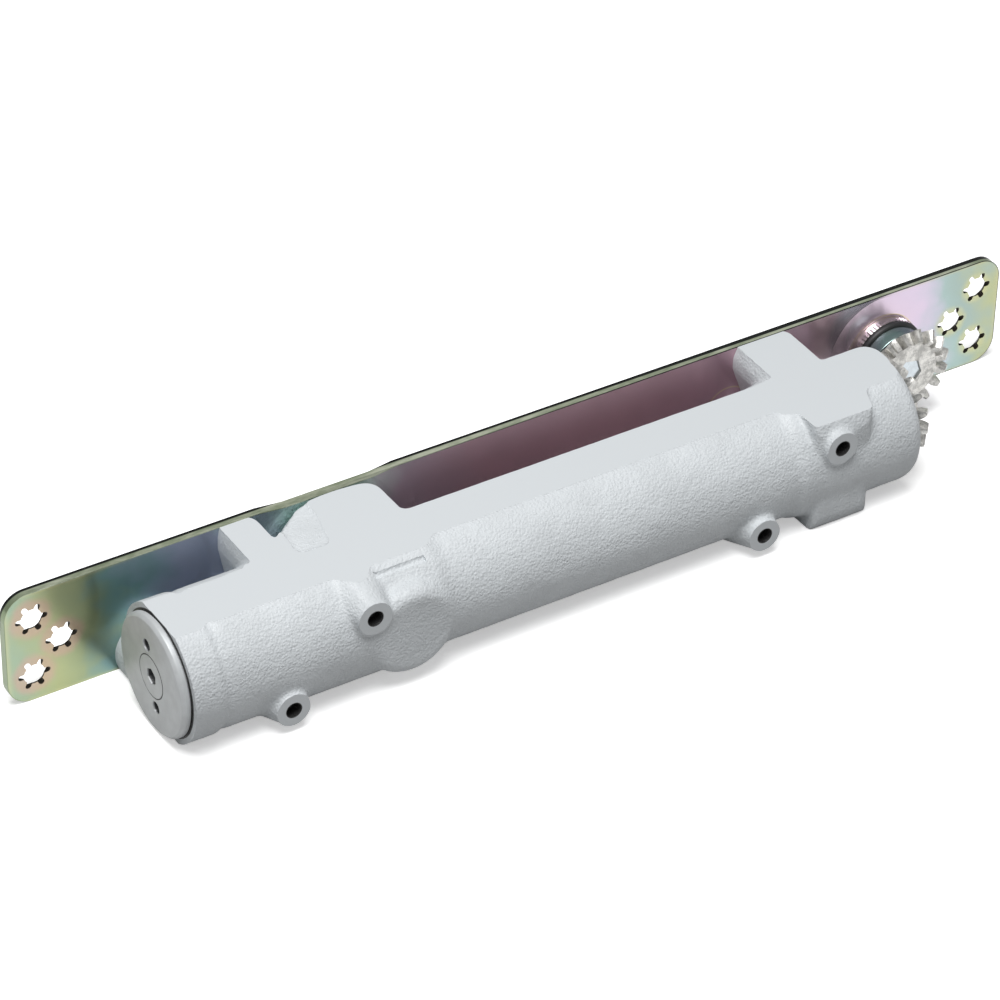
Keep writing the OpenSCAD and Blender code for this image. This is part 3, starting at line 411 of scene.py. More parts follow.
def cast_paint(sizes, colours):
    """Grey paint over sand-cast iron, rough but for the machined flats and faces."""
    finish = Finish("cast_paint", colours.casting, 0.5, coat=0.1)
    x, y, z = finish.axes()
    on_flat = abs(z).ramp(FLAT_Z - 0.05, FLAT_Z - 0.02)
    on_boss = y.ramp(0.08 - FACE_DEPTH, 0.03 - FACE_DEPTH)
    on_lobe = y.ramp(-0.06 - DISH_DEPTH, -0.03 - DISH_DEPTH)
    machined = on_flat.most(on_boss).most(on_lobe)
    grain = finish.noise(sizes.grain * 1.3, 2.0, 0.5)
    coarse = finish.noise(sizes.grain * 4.0, 2.0, 0.5)
    pebbles = finish.node(
        "TexVoronoi", {"feature": "SMOOTH_F1"},
        {"Vector": finish.place, "Scale": 1 / (sizes.grain * 1.35), "Smoothness": 0.7}
    )
    cast = 1 - machined
    relief = finish.bump((grain * 0.4 - pebbles * 0.4 + coarse * 0.35) * cast, sizes.grain_height)
    smooth = finish.bump(finish.noise(0.0009, 2.0) * machined, 0.00001, relief)
    tint = finish.noise(0.012, 3.0).ramp(0.3, 0.7)
    light, dark, flat = shades(colours.casting, 1.03, 0.95, 0.96)
    painted = finish.mix(machined, finish.mix(tint, dark, light), flat)
    # Painted shade: the walls of the bosses' bores and the narrow annulus between the cap and the body's end
    # are painted near black.
    shaded_bore = distance(x, z, BOSSES).ramp(BOSS_BORE + 0.2, BOSS_BORE + 0.02) * y.ramp(-36, -38)
    off_axis = ((y + BODY_DEPTH) ** 2 + z ** 2).root()
    gap = x.ramp(BODY_LEFT + 0.2, BODY_LEFT + 0.02) * off_axis.ramp(CAP_RADIUS + 0.1, CAP_RADIUS - 0.1)
    return finish.give(
        Base_Color=finish.mix(shaded_bore.most(gap), painted, UNLIT),
        Roughness=0.47 + cast * 0.08 + grain * 0.06,
        Normal=smooth,
    )


def passivation():
    """Iridescent zinc passivation: its film's thickness drifts along the plate and round the holes, with
    painted glints and a painted dark reflection line along its edges, and painted shade on its holes' walls.
    """
    finish = Finish("iridescent_passivation", (0.5, 0.55, 0.45), 0.2, 0.86)
    x, y, z = finish.axes()
    right = x.ramp(-10.0, 10.0)
    drift = finish.noise(0.016, 2.0, 0.5, (1, 1, 1.3)) - 0.5
    fine = finish.noise(0.005, 3.0, 0.55) - 0.5
    end = PLATE_HALF[0] + 0.5
    film = (x + end) / (2 * end) + drift * 0.09 + fine * 0.035
    along = finish.node("ValToRGB", {"stops": PLATE_FILM}, {0: film})
    holes = distance(x, z, STAR_HOLES)
    halo = (holes + fine * 3.0 + right * 1.2).ramp(STAR_RADIUS + 0.6, STAR_RADIUS - 1.9)
    warmed = finish.mix(halo * 0.6, along, finish.mix(right, *HALO_TINTS))
    half_x, half_z = PLATE_HALF
    rim = abs(x).ramp(half_x - 1.9, half_x).most(abs(z).ramp(half_z - 1.1, half_z))
    edged = finish.mix(rim * abs(x).ramp(100.0, 125.0) * 0.5, warmed, RIM_TINT)
    rings = [abs(distance(x, z, [(ring_x, ring_z)]) - radius) for ring_x, ring_z, radius in PLATE_RINGS]
    inner_face = y.ramp(0.2 - PLATE_THICKNESS, 0.05 - PLATE_THICKNESS)
    on_ring = rings[0].least(rings[1]).ramp(0.28, 0.12)
    ringed = finish.mix(on_ring * inner_face * 0.6, edged, RING_TINT)
    past_x = (abs(x) - (half_x - PLATE_CORNER)).most(0.0)
    past_z = (abs(z) - (half_z - PLATE_CORNER)).most(0.0)
    lip = (past_x ** 2 + past_z ** 2).root().ramp(PLATE_CORNER - 0.28, PLATE_CORNER - 0.1)
    # Painted light on the plate's edge faces: pale glints over the dark olive strip, and a near-black painted
    # dark reflection along the top edge's outer side and along the inner face's edge.
    glint = finish.noise(0.005, 4.0, 0.75, (0.25, 1, 1)).ramp(0.3, 0.7) * abs(x).ramp(144.0, 138.0)
    outer = (y + x.ramp(0.0, 90.0) * 0.5).ramp(-1.0, -0.8) * z.ramp(4.0, 14.0)
    inner = y.ramp(0.2 - PLATE_THICKNESS, 0.08 - PLATE_THICKNESS) * x.ramp(-90.0, 40.0)
    edge_tint_and_painted_light = finish.mix(outer.most(inner), finish.mix(glint, *STRIP_TINT_AND_GLINT), PAINTED_DARK_EDGE_LINE)
    banded = finish.mix(lip, ringed, edge_tint_and_painted_light)
    # Painted shade: the star holes' walls are painted near black.
    between_faces = y.ramp(0.06 - PLATE_THICKNESS, 0.2 - PLATE_THICKNESS) * y.ramp(-0.02, -0.1)
    shaded_wall = between_faces * holes.ramp(STAR_RADIUS + 0.2, STAR_RADIUS)
    scratches = finish.noise(0.0012, 2.0, 0.6, (0.12, 1, 1))
    return finish.give(
        Base_Color=finish.mix(shaded_wall, banded, HOLE_WALL_SHADE),
        Roughness=0.2 + scratches * 0.08,
        Normal=finish.bump(scratches, 0.000006),
    )


def metal(name, colour, roughness, mottle=0.0015, mottling=0.12, scratch=0.000008):
    """Plain metal with slight clouding and fine relief."""
    finish = Finish(name, colour, roughness, 1.0)
    cloud = finish.noise(mottle, 4.0, 0.6)
    dark, light = shades(colour, 1 - mottling, 1 + mottling)
    return finish.give(
        Base_Color=finish.mix(cloud.ramp(0.3, 0.7), dark, light),
        Roughness=roughness - 0.05 + cloud * 0.1,
        Normal=finish.bump(finish.noise(mottle / 3, 3.0), scratch),
    )


def turned_face(name, colour, roughness):
    """Metal turned round the body's axis: its tool marks are rings, and shade is painted near black inside
    its holes and along the ring round its plug.
    """
    finish = Finish(name, colour, roughness, 0.2)
    x, y, z = finish.axes()
    radius = ((y + BODY_DEPTH) ** 2 + z ** 2).root()
    ringed = finish.node("CombineXYZ", values={0: radius * MM})
    marks = finish.node(
        "TexNoise", values={"Vector": ringed, "Scale": 1 / 0.00022, "Detail": 3.0, "Roughness": 0.7}
    )
    cloud = finish.noise(0.004, 3.0)
    dark, light, unlit = shades(colour, 0.94, 1.05, 0.12)
    # Painted shade: near black along the plug's joint and inside the socket and spanner holes.
    joint = abs(radius - CAP_PLUG_RADIUS).ramp(0.2, 0.1)
    inside = (x.ramp(-119.3, -118.9) * radius.ramp(14.6, 14.2)).most(joint)
    return finish.give(
        Base_Color=finish.mix(inside, finish.mix(cloud.ramp(0.3, 0.7), dark, light), unlit),
        Roughness=roughness - 0.04 + marks * 0.1,
        Normal=finish.bump(marks, 0.000006),
    )


def sintered(colours):
    """Pressed and sintered steel: mottled grey, with dark pores."""
    finish = Finish("sintered_steel", colours.sinter, 0.34, 0.92)
    cloud = finish.noise(0.0022, 5.0, 0.65)
    pores = finish.noise(0.00035, 2.0, 0.6)
    dark, light = shades(colours.sinter, 0.6, 1.2)
    clouded = finish.mix(cloud.ramp(0.32, 0.68), dark, light)
    return finish.give(
        Base_Color=finish.mix(pores.ramp(0.58, 0.7) * 0.8, clouded, (0.2, 0.2, 0.2)),
        Roughness=0.28 + cloud * 0.16,
        Normal=finish.bump(cloud * 0.5 + pores, 0.00004),
    )


def bush_zinc():
    """Zinc passivation on the adjuster's bush: pinkish at the collar, grey-green at the nose."""
    finish = Finish("bush_passivation", (0.6, 0.55, 0.55), 0.22, 1.0)
    _, y, _ = finish.axes()
    cloud = finish.noise(0.005, 3.0, 0.55)
    shifted = y * -1 + cloud * 1.5
    colour = finish.node("ValToRGB", {"stops": BUSH_FILM}, {0: shifted / BUSH_LENGTH})
    return finish.give(Base_Color=colour, Roughness=0.2 + cloud * 0.1, Normal=finish.bump(cloud, 0.00002))


def rubber(colours):
    """Black rubber with a little dust."""
    finish = Finish("seal_rubber", colours.rubber, 0.45)
    dust = finish.noise(0.0012, 3.0)
    return finish.give(
        Base_Color=finish.mix(dust.ramp(0.55, 0.85) * 0.3, colours.rubber, (0.05, 0.05, 0.05)),
        Roughness=0.4 + dust * 0.15,
        Normal=finish.bump(dust, 0.00001),
    )


def table_top(colours):
    """Pale seamless table, which the eye sees a little brighter than it is lit."""
    finish = Finish("pale_table", colours.floor, 0.85)
    cloud = finish.noise(0.2, 2.0)
    shown = finish.seen_by("Camera", "Glossy")
    seen = finish.mix(cloud, *shades(colours.floor, 0.995, 1.0))
    return finish.give(
        Base_Color=finish.mix(shown, colours.floor_bounce, seen),
        Emission_Color=finish.mix(finish.seen_by("Camera"), (0, 0, 0), colours.floor_lift),
        Emission_Strength=1.0,
    )


MATERIALS = {}


def material(name):
    """The named finish, made when it is first asked for."""
    if name not in MATERIALS:
        scene = bpy.context.scene
        sizes, colours = scene.closer_finish, scene.closer_colours
        MATERIALS[name] = {
            "casting": lambda: cast_paint(sizes, colours),
            "faceplate": passivation,
            "zinc_screws": lambda: metal("yellow_zinc", (0.62, 0.58, 0.36), 0.25, 0.002, 0.15),
            "turned_steel": lambda: metal("turned_steel", colours.steel, 0.35),
            "cap_face": lambda: turned_face("turned_cap", colours.cap, 0.42),
            "bearing_steel": lambda: metal("ground_steel", colours.ground, 0.18, 0.003, 0.05, 0.000003),
            "hardened_steel": lambda: metal("hardened_steel", colours.hardened, 0.28, 0.003, 0.08),
            "spring_steel": lambda: metal("spring_steel", colours.spring, 0.38, 0.002, 0.2),
            # Painted shade: near-black steel for the balls deep in the bosses' bores.
            "unlit_steel": lambda: metal("unlit_steel", UNLIT, 0.5),
            "bronze": lambda: metal("sintered_bronze", colours.bronze, 0.4, 0.0012, 0.15),
            "brass": lambda: metal("turned_brass", colours.brass, 0.25, 0.0015, 0.08),
            "sintered_steel": lambda: sintered(colours),
            "zinc_bush": bush_zinc,
            "zinc_shaft": lambda: metal("bright_zinc", colours.zinc, 0.22, 0.0018, 0.08),
            "seal_rubber": lambda: rubber(colours),
            "floor": lambda: table_top(colours),
        }[name]()
    return MATERIALS[name]


# Meshes


def inward(x=0.0, z=0.0):
    """Places a piece that was drawn on +Z so that it runs into the door from the faceplate's outer face."""
    return Matrix.Translation((x, 0, z)) @ Matrix.Rotation(math.pi / 2, 4, "X")


def along_x(depth, z=0.0):
    """Places a piece that was drawn on +Z so that it runs along X at a depth behind the faceplate."""
    return Matrix.Translation((0, -depth, z)) @ Matrix.Rotation(math.pi / 2, 4, "Y")


# Turn drawings of (x, depth) points, extruded along Z, and of (y, z) points, extruded along X
FLAT_VIEW = Matrix.Scale(-1, 4, (0, 1, 0))
END_VIEW = Matrix(((0, 0, 1, 0), (1, 0, 0, 0), (0, 1, 0, 0), (0, 0, 0, 1)))


class Solid:
    """A mesh put together from turned and extruded closed pieces, drawn in millimetres."""

    def __init__(self):
        self.mesh = bmesh.new()

    def _add(self, rings, place, closed=True):
        """Joins rings of points by rows of faces."""
        rows = [[self.mesh.verts.new(place @ Vector(p)) for p in ring] for ring in rings]
        count = len(rows[0])
        pairs = list(zip(rows, rows[1:] + (rows[:1] if closed else [])))
        for low, high in pairs:
            for i in range(count):
                j = (i + 1) % count
                self.mesh.faces.new((low[i], low[j], high[j], high[i]))
        return rows

    def turned(self, section, place, steps=96):
        """Turns a closed half section of (radius, height) points round +Z."""
        rings = [
            [(r * math.cos(a), r * math.sin(a), h) for r, h in section]
            for a in (2 * math.pi * i / steps for i in range(steps))
        ]
        self._add(rings, place)
        return self

    def rod(self, radius, low, high, place, steps=64):
        """A round bar between two heights."""
        return self.turned([(0, low), (radius, low), (radius, high), (0, high)], place, steps)

    def prism(self, outline, low, high, place):
        """Extrudes an outline of (x, y) points along Z."""
        rows = self._add([[(x, y, h) for x, y in outline] for h in (low, high)], place, closed=False)
        self.mesh.faces.new(rows[0][::-1])
        self.mesh.faces.new(rows[1])
        return self

    def block(self, low, high):
        """A box between two corners."""
        (x0, y0, z0), (x1, y1, z1) = low, high
        return self.prism([(x0, y0), (x1, y0), (x1, y1), (x0, y1)], z0, z1, Matrix())

    def make(self, name):
        """Ends the drawing: closes poles, turns faces outwards and scales to metres."""
        bmesh.ops.remove_doubles(self.mesh, verts=self.mesh.verts, dist=1e-4)
        bmesh.ops.dissolve_degenerate(self.mesh, edges=self.mesh.edges, dist=1e-5)
        bmesh.ops.recalc_face_normals(self.mesh, faces=self.mesh.faces)
        bmesh.ops.scale(self.mesh, vec=(MM, MM, MM), verts=self.mesh.verts)
        data = bpy.data.meshes.new(name)
        self.mesh.to_mesh(data)
        self.mesh.free()
        return new_object(name, data)


def rounded(corners, steps=8):
    """Outline from (x, y, radius) corners, each turned into an arc of its radius."""
    outline = []
    for index, (x, y, radius) in enumerate(corners):
        here = Vector((x, y))
        if not radius:
            outline.append((x, y))
            continue
        before = (Vector(corners[index - 1][:2]) - here).normalized()
        after = (Vector(corners[(index + 1) % len(corners)][:2]) - here).normalized()
        half = before.angle(after) / 2
        centre = here + (before + after).normalized() * radius / math.sin(half)
        start = here + before * radius / math.tan(half) - centre
        end = here + after * radius / math.tan(half) - centre
        sweep = start.angle_signed(end)
        for k in range(steps + 1):
            angle = -sweep * k / steps
            turned = Vector((
                start.x * math.cos(angle) - start.y * math.sin(angle),
                start.x * math.sin(angle) + start.y * math.cos(angle),
            ))
            outline.append(tuple(centre + turned))
    return outline


def new_object(name, data):
    """An object for some data, linked to the scene."""
    made = bpy.data.objects.new(name, data)
    bpy.context.scene.collection.objects.link(made)
    return made


def apply_modifiers(piece):
    """Replaces a piece's mesh by what its modifiers make of it."""
    evaluated = piece.evaluated_get(bpy.context.evaluated_depsgraph_get())
    data = bpy.data.meshes.new_from_object(evaluated)
    piece.modifiers.clear()
    old, piece.data = piece.data, data
    bpy.data.meshes.remove(old)


def modify(piece, kind, **settings):
    """Gives a piece a modifier with its settings."""
    modifier = piece.modifiers.new(kind.lower(), kind)
    for key, value in settings.items():
        setattr(modifier, key, value)


def cut(piece, tool, operation="DIFFERENCE"):
    """Cuts a piece with a tool, or keeps what both share, and drops the tool."""
    modify(piece, "BOOLEAN", object=tool, operation=operation, solver="MANIFOLD")
    apply_modifiers(piece)
    data = tool.data
    bpy.data.objects.remove(tool)
    bpy.data.meshes.remove(data)
    if not piece.data.polygons:
        raise RuntimeError(f"{piece.name}: nothing is left after a cut")


def shade(piece, finish, angle):
    """Smooth shading with sharp edges above an angle, and one finish all over."""
    data = piece.data
    data.shade_smooth()
    data.set_sharp_from_angle(angle=math.radians(angle))
    data.materials.clear()
    data.materials.append(material(finish))
    return piece


def crisp_flats(piece):
    """Keeps the shading of a piece's flat faces apart from the curved skin that they meet."""
    mesh = bmesh.new()
    mesh.from_mesh(piece.data)
    flat = {face.index for face in mesh.faces if max(abs(c) for c in face.normal) > 0.999995}
    for edge in mesh.edges:
        if sum(face.index in flat for face in edge.link_faces) == 1:
            edge.smooth = False
    mesh.to_mesh(piece.data)
    mesh.free()


def place_piece(piece, node):
    """Lets a finished piece stand for its CAD node."""
    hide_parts(node)
    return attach(piece, BODY_OF[node])


def stretch_piece(piece, node, bodies, start, end):
    """Lets a finished spring stand for its CAD node, with its placement baked into its mesh."""
    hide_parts(node)
    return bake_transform(piece)


def copy_of(node, name):
    """A copy of a CAD node with its seams closed and its flat faces whole."""
    source = frame["nodes"][node]
    mesh = bmesh.new()
    mesh.from_mesh(source.data)
    bmesh.ops.remove_doubles(mesh, verts=mesh.verts, dist=1e-6)
    bmesh.ops.dissolve_degenerate(mesh, edges=mesh.edges, dist=1e-7)
    bmesh.ops.dissolve_limit(mesh, angle_limit=math.radians(0.4), verts=mesh.verts, edges=mesh.edges)
    data = bpy.data.meshes.new(name)
    mesh.to_mesh(data)
    mesh.free()
    for layer in list(data.uv_layers):
        data.uv_layers.remove(layer)
    return new_object(name, data)


def broken_edges(node, name, width, finish, segments=2, angle=28.0, smooth=25.0):
    """A CAD node's shape with its sharp edges broken, in its finish."""
    piece = copy_of(node, name)
    modify(
        piece, "BEVEL", width=width, segments=segments, limit_method="ANGLE",
        angle_limit=math.radians(angle), use_clamp_overlap=True, miter_outer="MITER_ARC"
    )
    apply_modifiers(piece)
    shade(piece, finish, smooth)
    return place_piece(piece, node)


def paint(node):
    """Gives a CAD node its finish."""
    piece = frame["nodes"][node]
    piece.data.materials.clear()
    piece.data.materials.append(material(SLOT_OF[node]))


# Geometry node trees


class Grower:
    """A geometry node tree with named inputs, run once on an empty mesh."""

    def __init__(self, name, finish):
        self.tree = bpy.data.node_groups.new(name, "GeometryNodeTree")
        self.name = name
        self.finish = finish
        self.values = {}
        self.tree.interface.new_socket("Geometry", in_out="OUTPUT", socket_type="NodeSocketGeometry")
        self.inputs = self.tree.nodes.new("NodeGroupInput")
        self.outputs = self.tree.nodes.new("NodeGroupOutput")

    def size(self, name, value, kind="Float"):
        """Adds a named input and keeps its value for the modifier."""
        socket = self.tree.interface.new_socket(name, in_out="INPUT", socket_type="NodeSocket" + kind)
        self.values[socket.identifier] = value
        return self.inputs.outputs[name]

    def node(self, kind, settings=None, values=None, output=0):
        """Adds one node; a value may be another node's socket."""
        made = self.tree.nodes.new(kind)
        for key, setting in (settings or {}).items():
            setattr(made, key, setting)
        for key, value in (values or {}).items():
            if isinstance(value, bpy.types.NodeSocket):
                self.tree.links.new(value, made.inputs[key])
            else:
                made.inputs[key].default_value = value
        return made.outputs[output]

    def grow(self, geometry, place, turn, smooth):
        """Ends the tree and turns its result, put in its place, into a plain mesh object."""
        placed = self.node(
            "GeometryNodeTransform", values={"Geometry": geometry, "Translation": place, "Rotation": turn}
        )
        real = self.node("GeometryNodeRealizeInstances", values={0: placed})
        dressed = self.node("GeometryNodeSetMaterial", values={0: real, "Material": material(self.finish)})
        self.tree.links.new(dressed, self.outputs.inputs[0])
        piece = new_object(self.name, bpy.data.meshes.new(self.name))
        modifier = piece.modifiers.new("grow", "NODES")
        modifier.node_group = self.tree
        for identifier, value in self.values.items():
            modifier[identifier] = value
        apply_modifiers(piece)
        if not piece.data.polygons:
            raise RuntimeError(f"{self.name}: the tree grew nothing")
        return shade(piece, self.finish, smooth)


def grow_coil(name, finish, radius, wire, turns, start, length):
    """A coil spring about the body's axis."""
    grower = Grower(name, finish)
    radius_in = grower.size("Radius", radius)
    wire_in = grower.size("Wire radius", wire)
    turns_in = grower.size("Turns", turns)
    length_in = grower.size("Length", length - 2 * wire)
    spiral = grower.node(
        "GeometryNodeCurveSpiral",
        values={"Resolution": 48, "Rotations": turns_in, "Start Radius": radius_in, "End Radius": radius_in,
                "Height": length_in}
    )
    section = grower.node("GeometryNodeCurvePrimitiveCircle", values={"Resolution": 14, "Radius": wire_in})
    tube = grower.node(
        "GeometryNodeCurveToMesh", values={"Curve": spiral, "Profile Curve": section, "Fill Caps": True}
    )
    return grower.grow(tube, (start + wire, -BODY_DEPTH * MM, 0), (0, math.pi / 2, 0), 60)


def grow_serrations(name, finish, count):
    """Fine teeth round the edge of the bush's collar."""
    grower = Grower(name, finish)
    count_in = grower.size("Teeth", count, "Int")
    radius_in = grower.size("Radius", COLLAR_RADIUS * MM)
    tooth_in = grower.size("Tooth radius", SERRATION_RADIUS * MM)
    length_in = grower.size("Tooth length", SERRATION_LENGTH * MM)
    circle = grower.node("GeometryNodeMeshCircle", values={"Vertices": count_in, "Radius": radius_in})
    tooth = grower.node(
        "GeometryNodeMeshCylinder",
        values={"Vertices": 3, "Side Segments": 1, "Fill Segments": 1, "Radius": tooth_in, "Depth": length_in}
    )
    spot = grower.node("GeometryNodeInputPosition")
    x = grower.node("ShaderNodeSeparateXYZ", values={0: spot})
    y = grower.node("ShaderNodeSeparateXYZ", values={0: spot}, output=1)
    angle = grower.node("ShaderNodeMath", {"operation": "ARCTAN2"}, {0: y, 1: x})
    turn = grower.node("ShaderNodeCombineXYZ", values={2: angle})
    teeth = grower.node(
        "GeometryNodeInstanceOnPoints", values={"Points": circle, "Instance": tooth, "Rotation": turn}
    )
    return grower.grow(teeth, (ADJUSTER_X * MM, -COLLAR_DEPTH * MM, 0), (math.pi / 2, 0, 0), 20)


# The casting


def lobe_side(x, way, waist, corner):
    """What shapes a narrow lobe's side: it bulges at the screws or valves and draws in between them."""
    half = [
        (-4, BEYOND, 0), (2 * corner, BEYOND, 0), (corner, FLAT_Z, 0), (0, 13, 2.5), (0, 9.6, 3),
        (waist, 1.6, 3)
    ]
    corners = half + [(out, -z, radius) for out, z, radius in reversed(half)]
    return rounded([(x + way * out, z, radius) for out, z, radius in corners][::-way])


def narrow_lobe(name, outline, *sides):
    """A lobe between the flats, with its two sides shaped."""
    lobe = Solid().prism(rounded(outline), -PROUD, PROUD, FLAT_VIEW).make(name)
    for side in sides:
        cut(lobe, Solid().prism(lobe_side(*side), 0, 18.4, inward()).make(name + "_side"))
    return lobe


def raw_casting(sizes):
    """The casting before machining: it stands proud of its flats, faces and left end."""
    ring, left, middle, right = (
        r / MM for r in (sizes.ring_radius, sizes.left_radius, sizes.middle_radius, sizes.right_radius)
    )
    solid = Solid()
    end_radius = 3
    end_edge = [
        (right - end_radius * (1 - math.cos(a)), BODY_RIGHT - end_radius * (1 - math.sin(a)))
        for a in (math.radians(15 * i) for i in range(7))
    ]
    beyond = BODY_LEFT - 2.5
    solid.turned(
        [(0, beyond), (ring, beyond), (ring, -109.2), (left - 0.5, -108.4), (left, -106.4), (left, -48.5),
         (middle, -45.0), (middle, 54.7), (right, 57.2), *end_edge, (0, BODY_RIGHT)],
        along_x(BODY_DEPTH)
    )
    edge, reach, lobe_depth = 3.4, 18.4, 3.4
    lobe_edge = [
        (reach - edge + edge * math.cos(a), lobe_depth + edge - edge * math.sin(a))
        for a in (math.radians(90 - 15 * i) for i in range(7))
    ]
    solid.turned(
        [(0, lobe_depth), *lobe_edge, (reach, BODY_DEPTH), (0, BODY_DEPTH)], inward(SPINDLE_X)
    )
    solid.rod(FOOT_RADIUS, LOBE_TOP, BODY_DEPTH, inward(*FOOT))
    a_left, a_right = NARROW_LOBE
    c_left, c_right = WIDE_LOBE
    back, rail, end_rail = BODY_DEPTH - 6.6, BODY_DEPTH - 7.8, BODY_DEPTH - 8.5
    for web in (
        [(a_left - 7.2, BODY_DEPTH, 0), (a_left - 7.2, back, 0), (a_right - 2, back, 0),
         (a_right - 2, 14.8, 0), (a_right + 1.6, 12.4, 0), (SPINDLE_X - 9.5, 4.2, 8),
         (SPINDLE_X + 11.3, 4.2, 4.2), (SPINDLE_X + 11.3, rail, 2), (c_left + 5, rail, 0),
         (c_left + 5, BODY_DEPTH, 0)],
        [(c_left + 4, BODY_DEPTH, 0), (c_left + 4, end_rail, 0), (BODY_RIGHT, end_rail, 4.2),
         (BODY_RIGHT, BODY_DEPTH, 0)],
    ):
        solid.prism(rounded(web), -PROUD, PROUD, FLAT_VIEW)
    boss = sizes.boss_radius / MM
    skirt = [(0, BODY_DEPTH + 4), (boss + 4.6, BODY_DEPTH + 4), (boss, FACE_DEPTH - 1), (0, FACE_DEPTH - 1)]
    for x, z in BOSSES:
        place = inward(x, z)
        solid.rod(boss, BODY_DEPTH, FACE_DEPTH + 0.8, place)
        solid.turned(skirt, place)
    mound, top = sizes.bearing_radius / MM, FACE_DEPTH - 0.6
    solid.turned(
        [(0, BODY_DEPTH), (mound, BODY_DEPTH), (mound, top - 2.9), (mound - 0.5, top - 1.3),
         (mound - 2.1, top), (0, top)],
        inward(SPINDLE_X)
    )
    casting = solid.make("cast_body")
    modify(casting, "REMESH", mode="VOXEL", voxel_size=sizes.grid * 1.2)
    apply_modifiers(casting)
    front = FACE_DEPTH - 1.7
    pad = Solid().prism(
        rounded([(59.6, BODY_DEPTH, 0), (59.6, front, 2.5), (76.3, front, 4), (80.7, BODY_DEPTH + 5, 3),
                 (80.7, BODY_DEPTH, 0)]),
        -PROUD, PROUD, FLAT_VIEW
    ).make("pad")
    side = Solid().prism(
        rounded([(-BODY_DEPTH + 1, -PROUD, 0), (-BODY_DEPTH + 1, PROUD, 0), (-front + 2, FLAT_Z + 1, 2.5),
                 (-front, FLAT_Z - 3.4, 2.5), (-front, 3.4 - FLAT_Z, 2.5), (-front + 2, -FLAT_Z - 1, 2.5)]),
        WIDE_LOBE[0] - 7.2, WIDE_LOBE[1] + 12.1, END_VIEW
    ).make("pad_side")
    lobe_a = narrow_lobe(
        "lobe_a",
        [(a_left - 6.5, back + 1.5, 0), (a_left - 6.5, back, 0), (a_left - 1.5, back, 1),
         (a_left + 0.1, LOBE_TOP, 1), (a_right, LOBE_TOP, 3.4), (a_right + 1.3, 13.5, 0),
         (a_right + 0.4, back + 1.5, 0)],
        (a_left + 0.1, 1, 1.7, 0.6), (a_right + 0.9, -1, 1.8, 0.5)
    )
    lobe_c = narrow_lobe(
        "lobe_c",
        [(c_left - 8, rail, 0), (c_left - 2.4, rail, 1.2), (c_left - 1, LOBE_TOP, 0.6),
         (c_right - 0.5, LOBE_TOP, 3.4), (c_right, end_rail, 2.2), (c_right + 5, end_rail, 0),
         (c_right + 5, 21, 0), (c_left - 8, 21, 0)],
        (c_left - 1, 1, 3, 1.3), (c_right, -1, 1.8, 0.5)
    )
    cut(pad, side, "INTERSECT")
    for piece in (pad, lobe_a, lobe_c):
        cut(casting, piece, "UNION")
    for side in (-1, 1):
        low, high = sorted((side * (FLAT_Z - SKIN_DEPTH), side * (PROUD + 5.6)))
        cut(casting, Solid().prism(rounded(SKIN_PATCH), low, high, FLAT_VIEW).make("skin_patch"))
    return casting


def roughen(piece, height, size):
    """Moves each point a little along its normal, by noise with a fixed pattern."""
    data = piece.data
    count = len(data.vertices)
    places = np.empty(count * 3, np.float32)
    normals = np.empty(count * 3, np.float32)
    data.vertices.foreach_get("co", places)
    data.vertex_normals.foreach_get("vector", normals)
    places = places.reshape(-1, 3)
    lift = np.array([noise.fractal(Vector(p), 0.7, 2.0, 3) for p in places / size], np.float32)
    places += normals.reshape(-1, 3) * (lift * height)[:, None]
    data.vertices.foreach_set("co", places.ravel())
    data.update()


class CloserOperator(bpy.types.Operator):
    """Runs make() and reports that it is done"""

    bl_options = {"REGISTER", "UNDO"}

    def execute(self, context):
        self.make(context.scene)
        return {"FINISHED"}


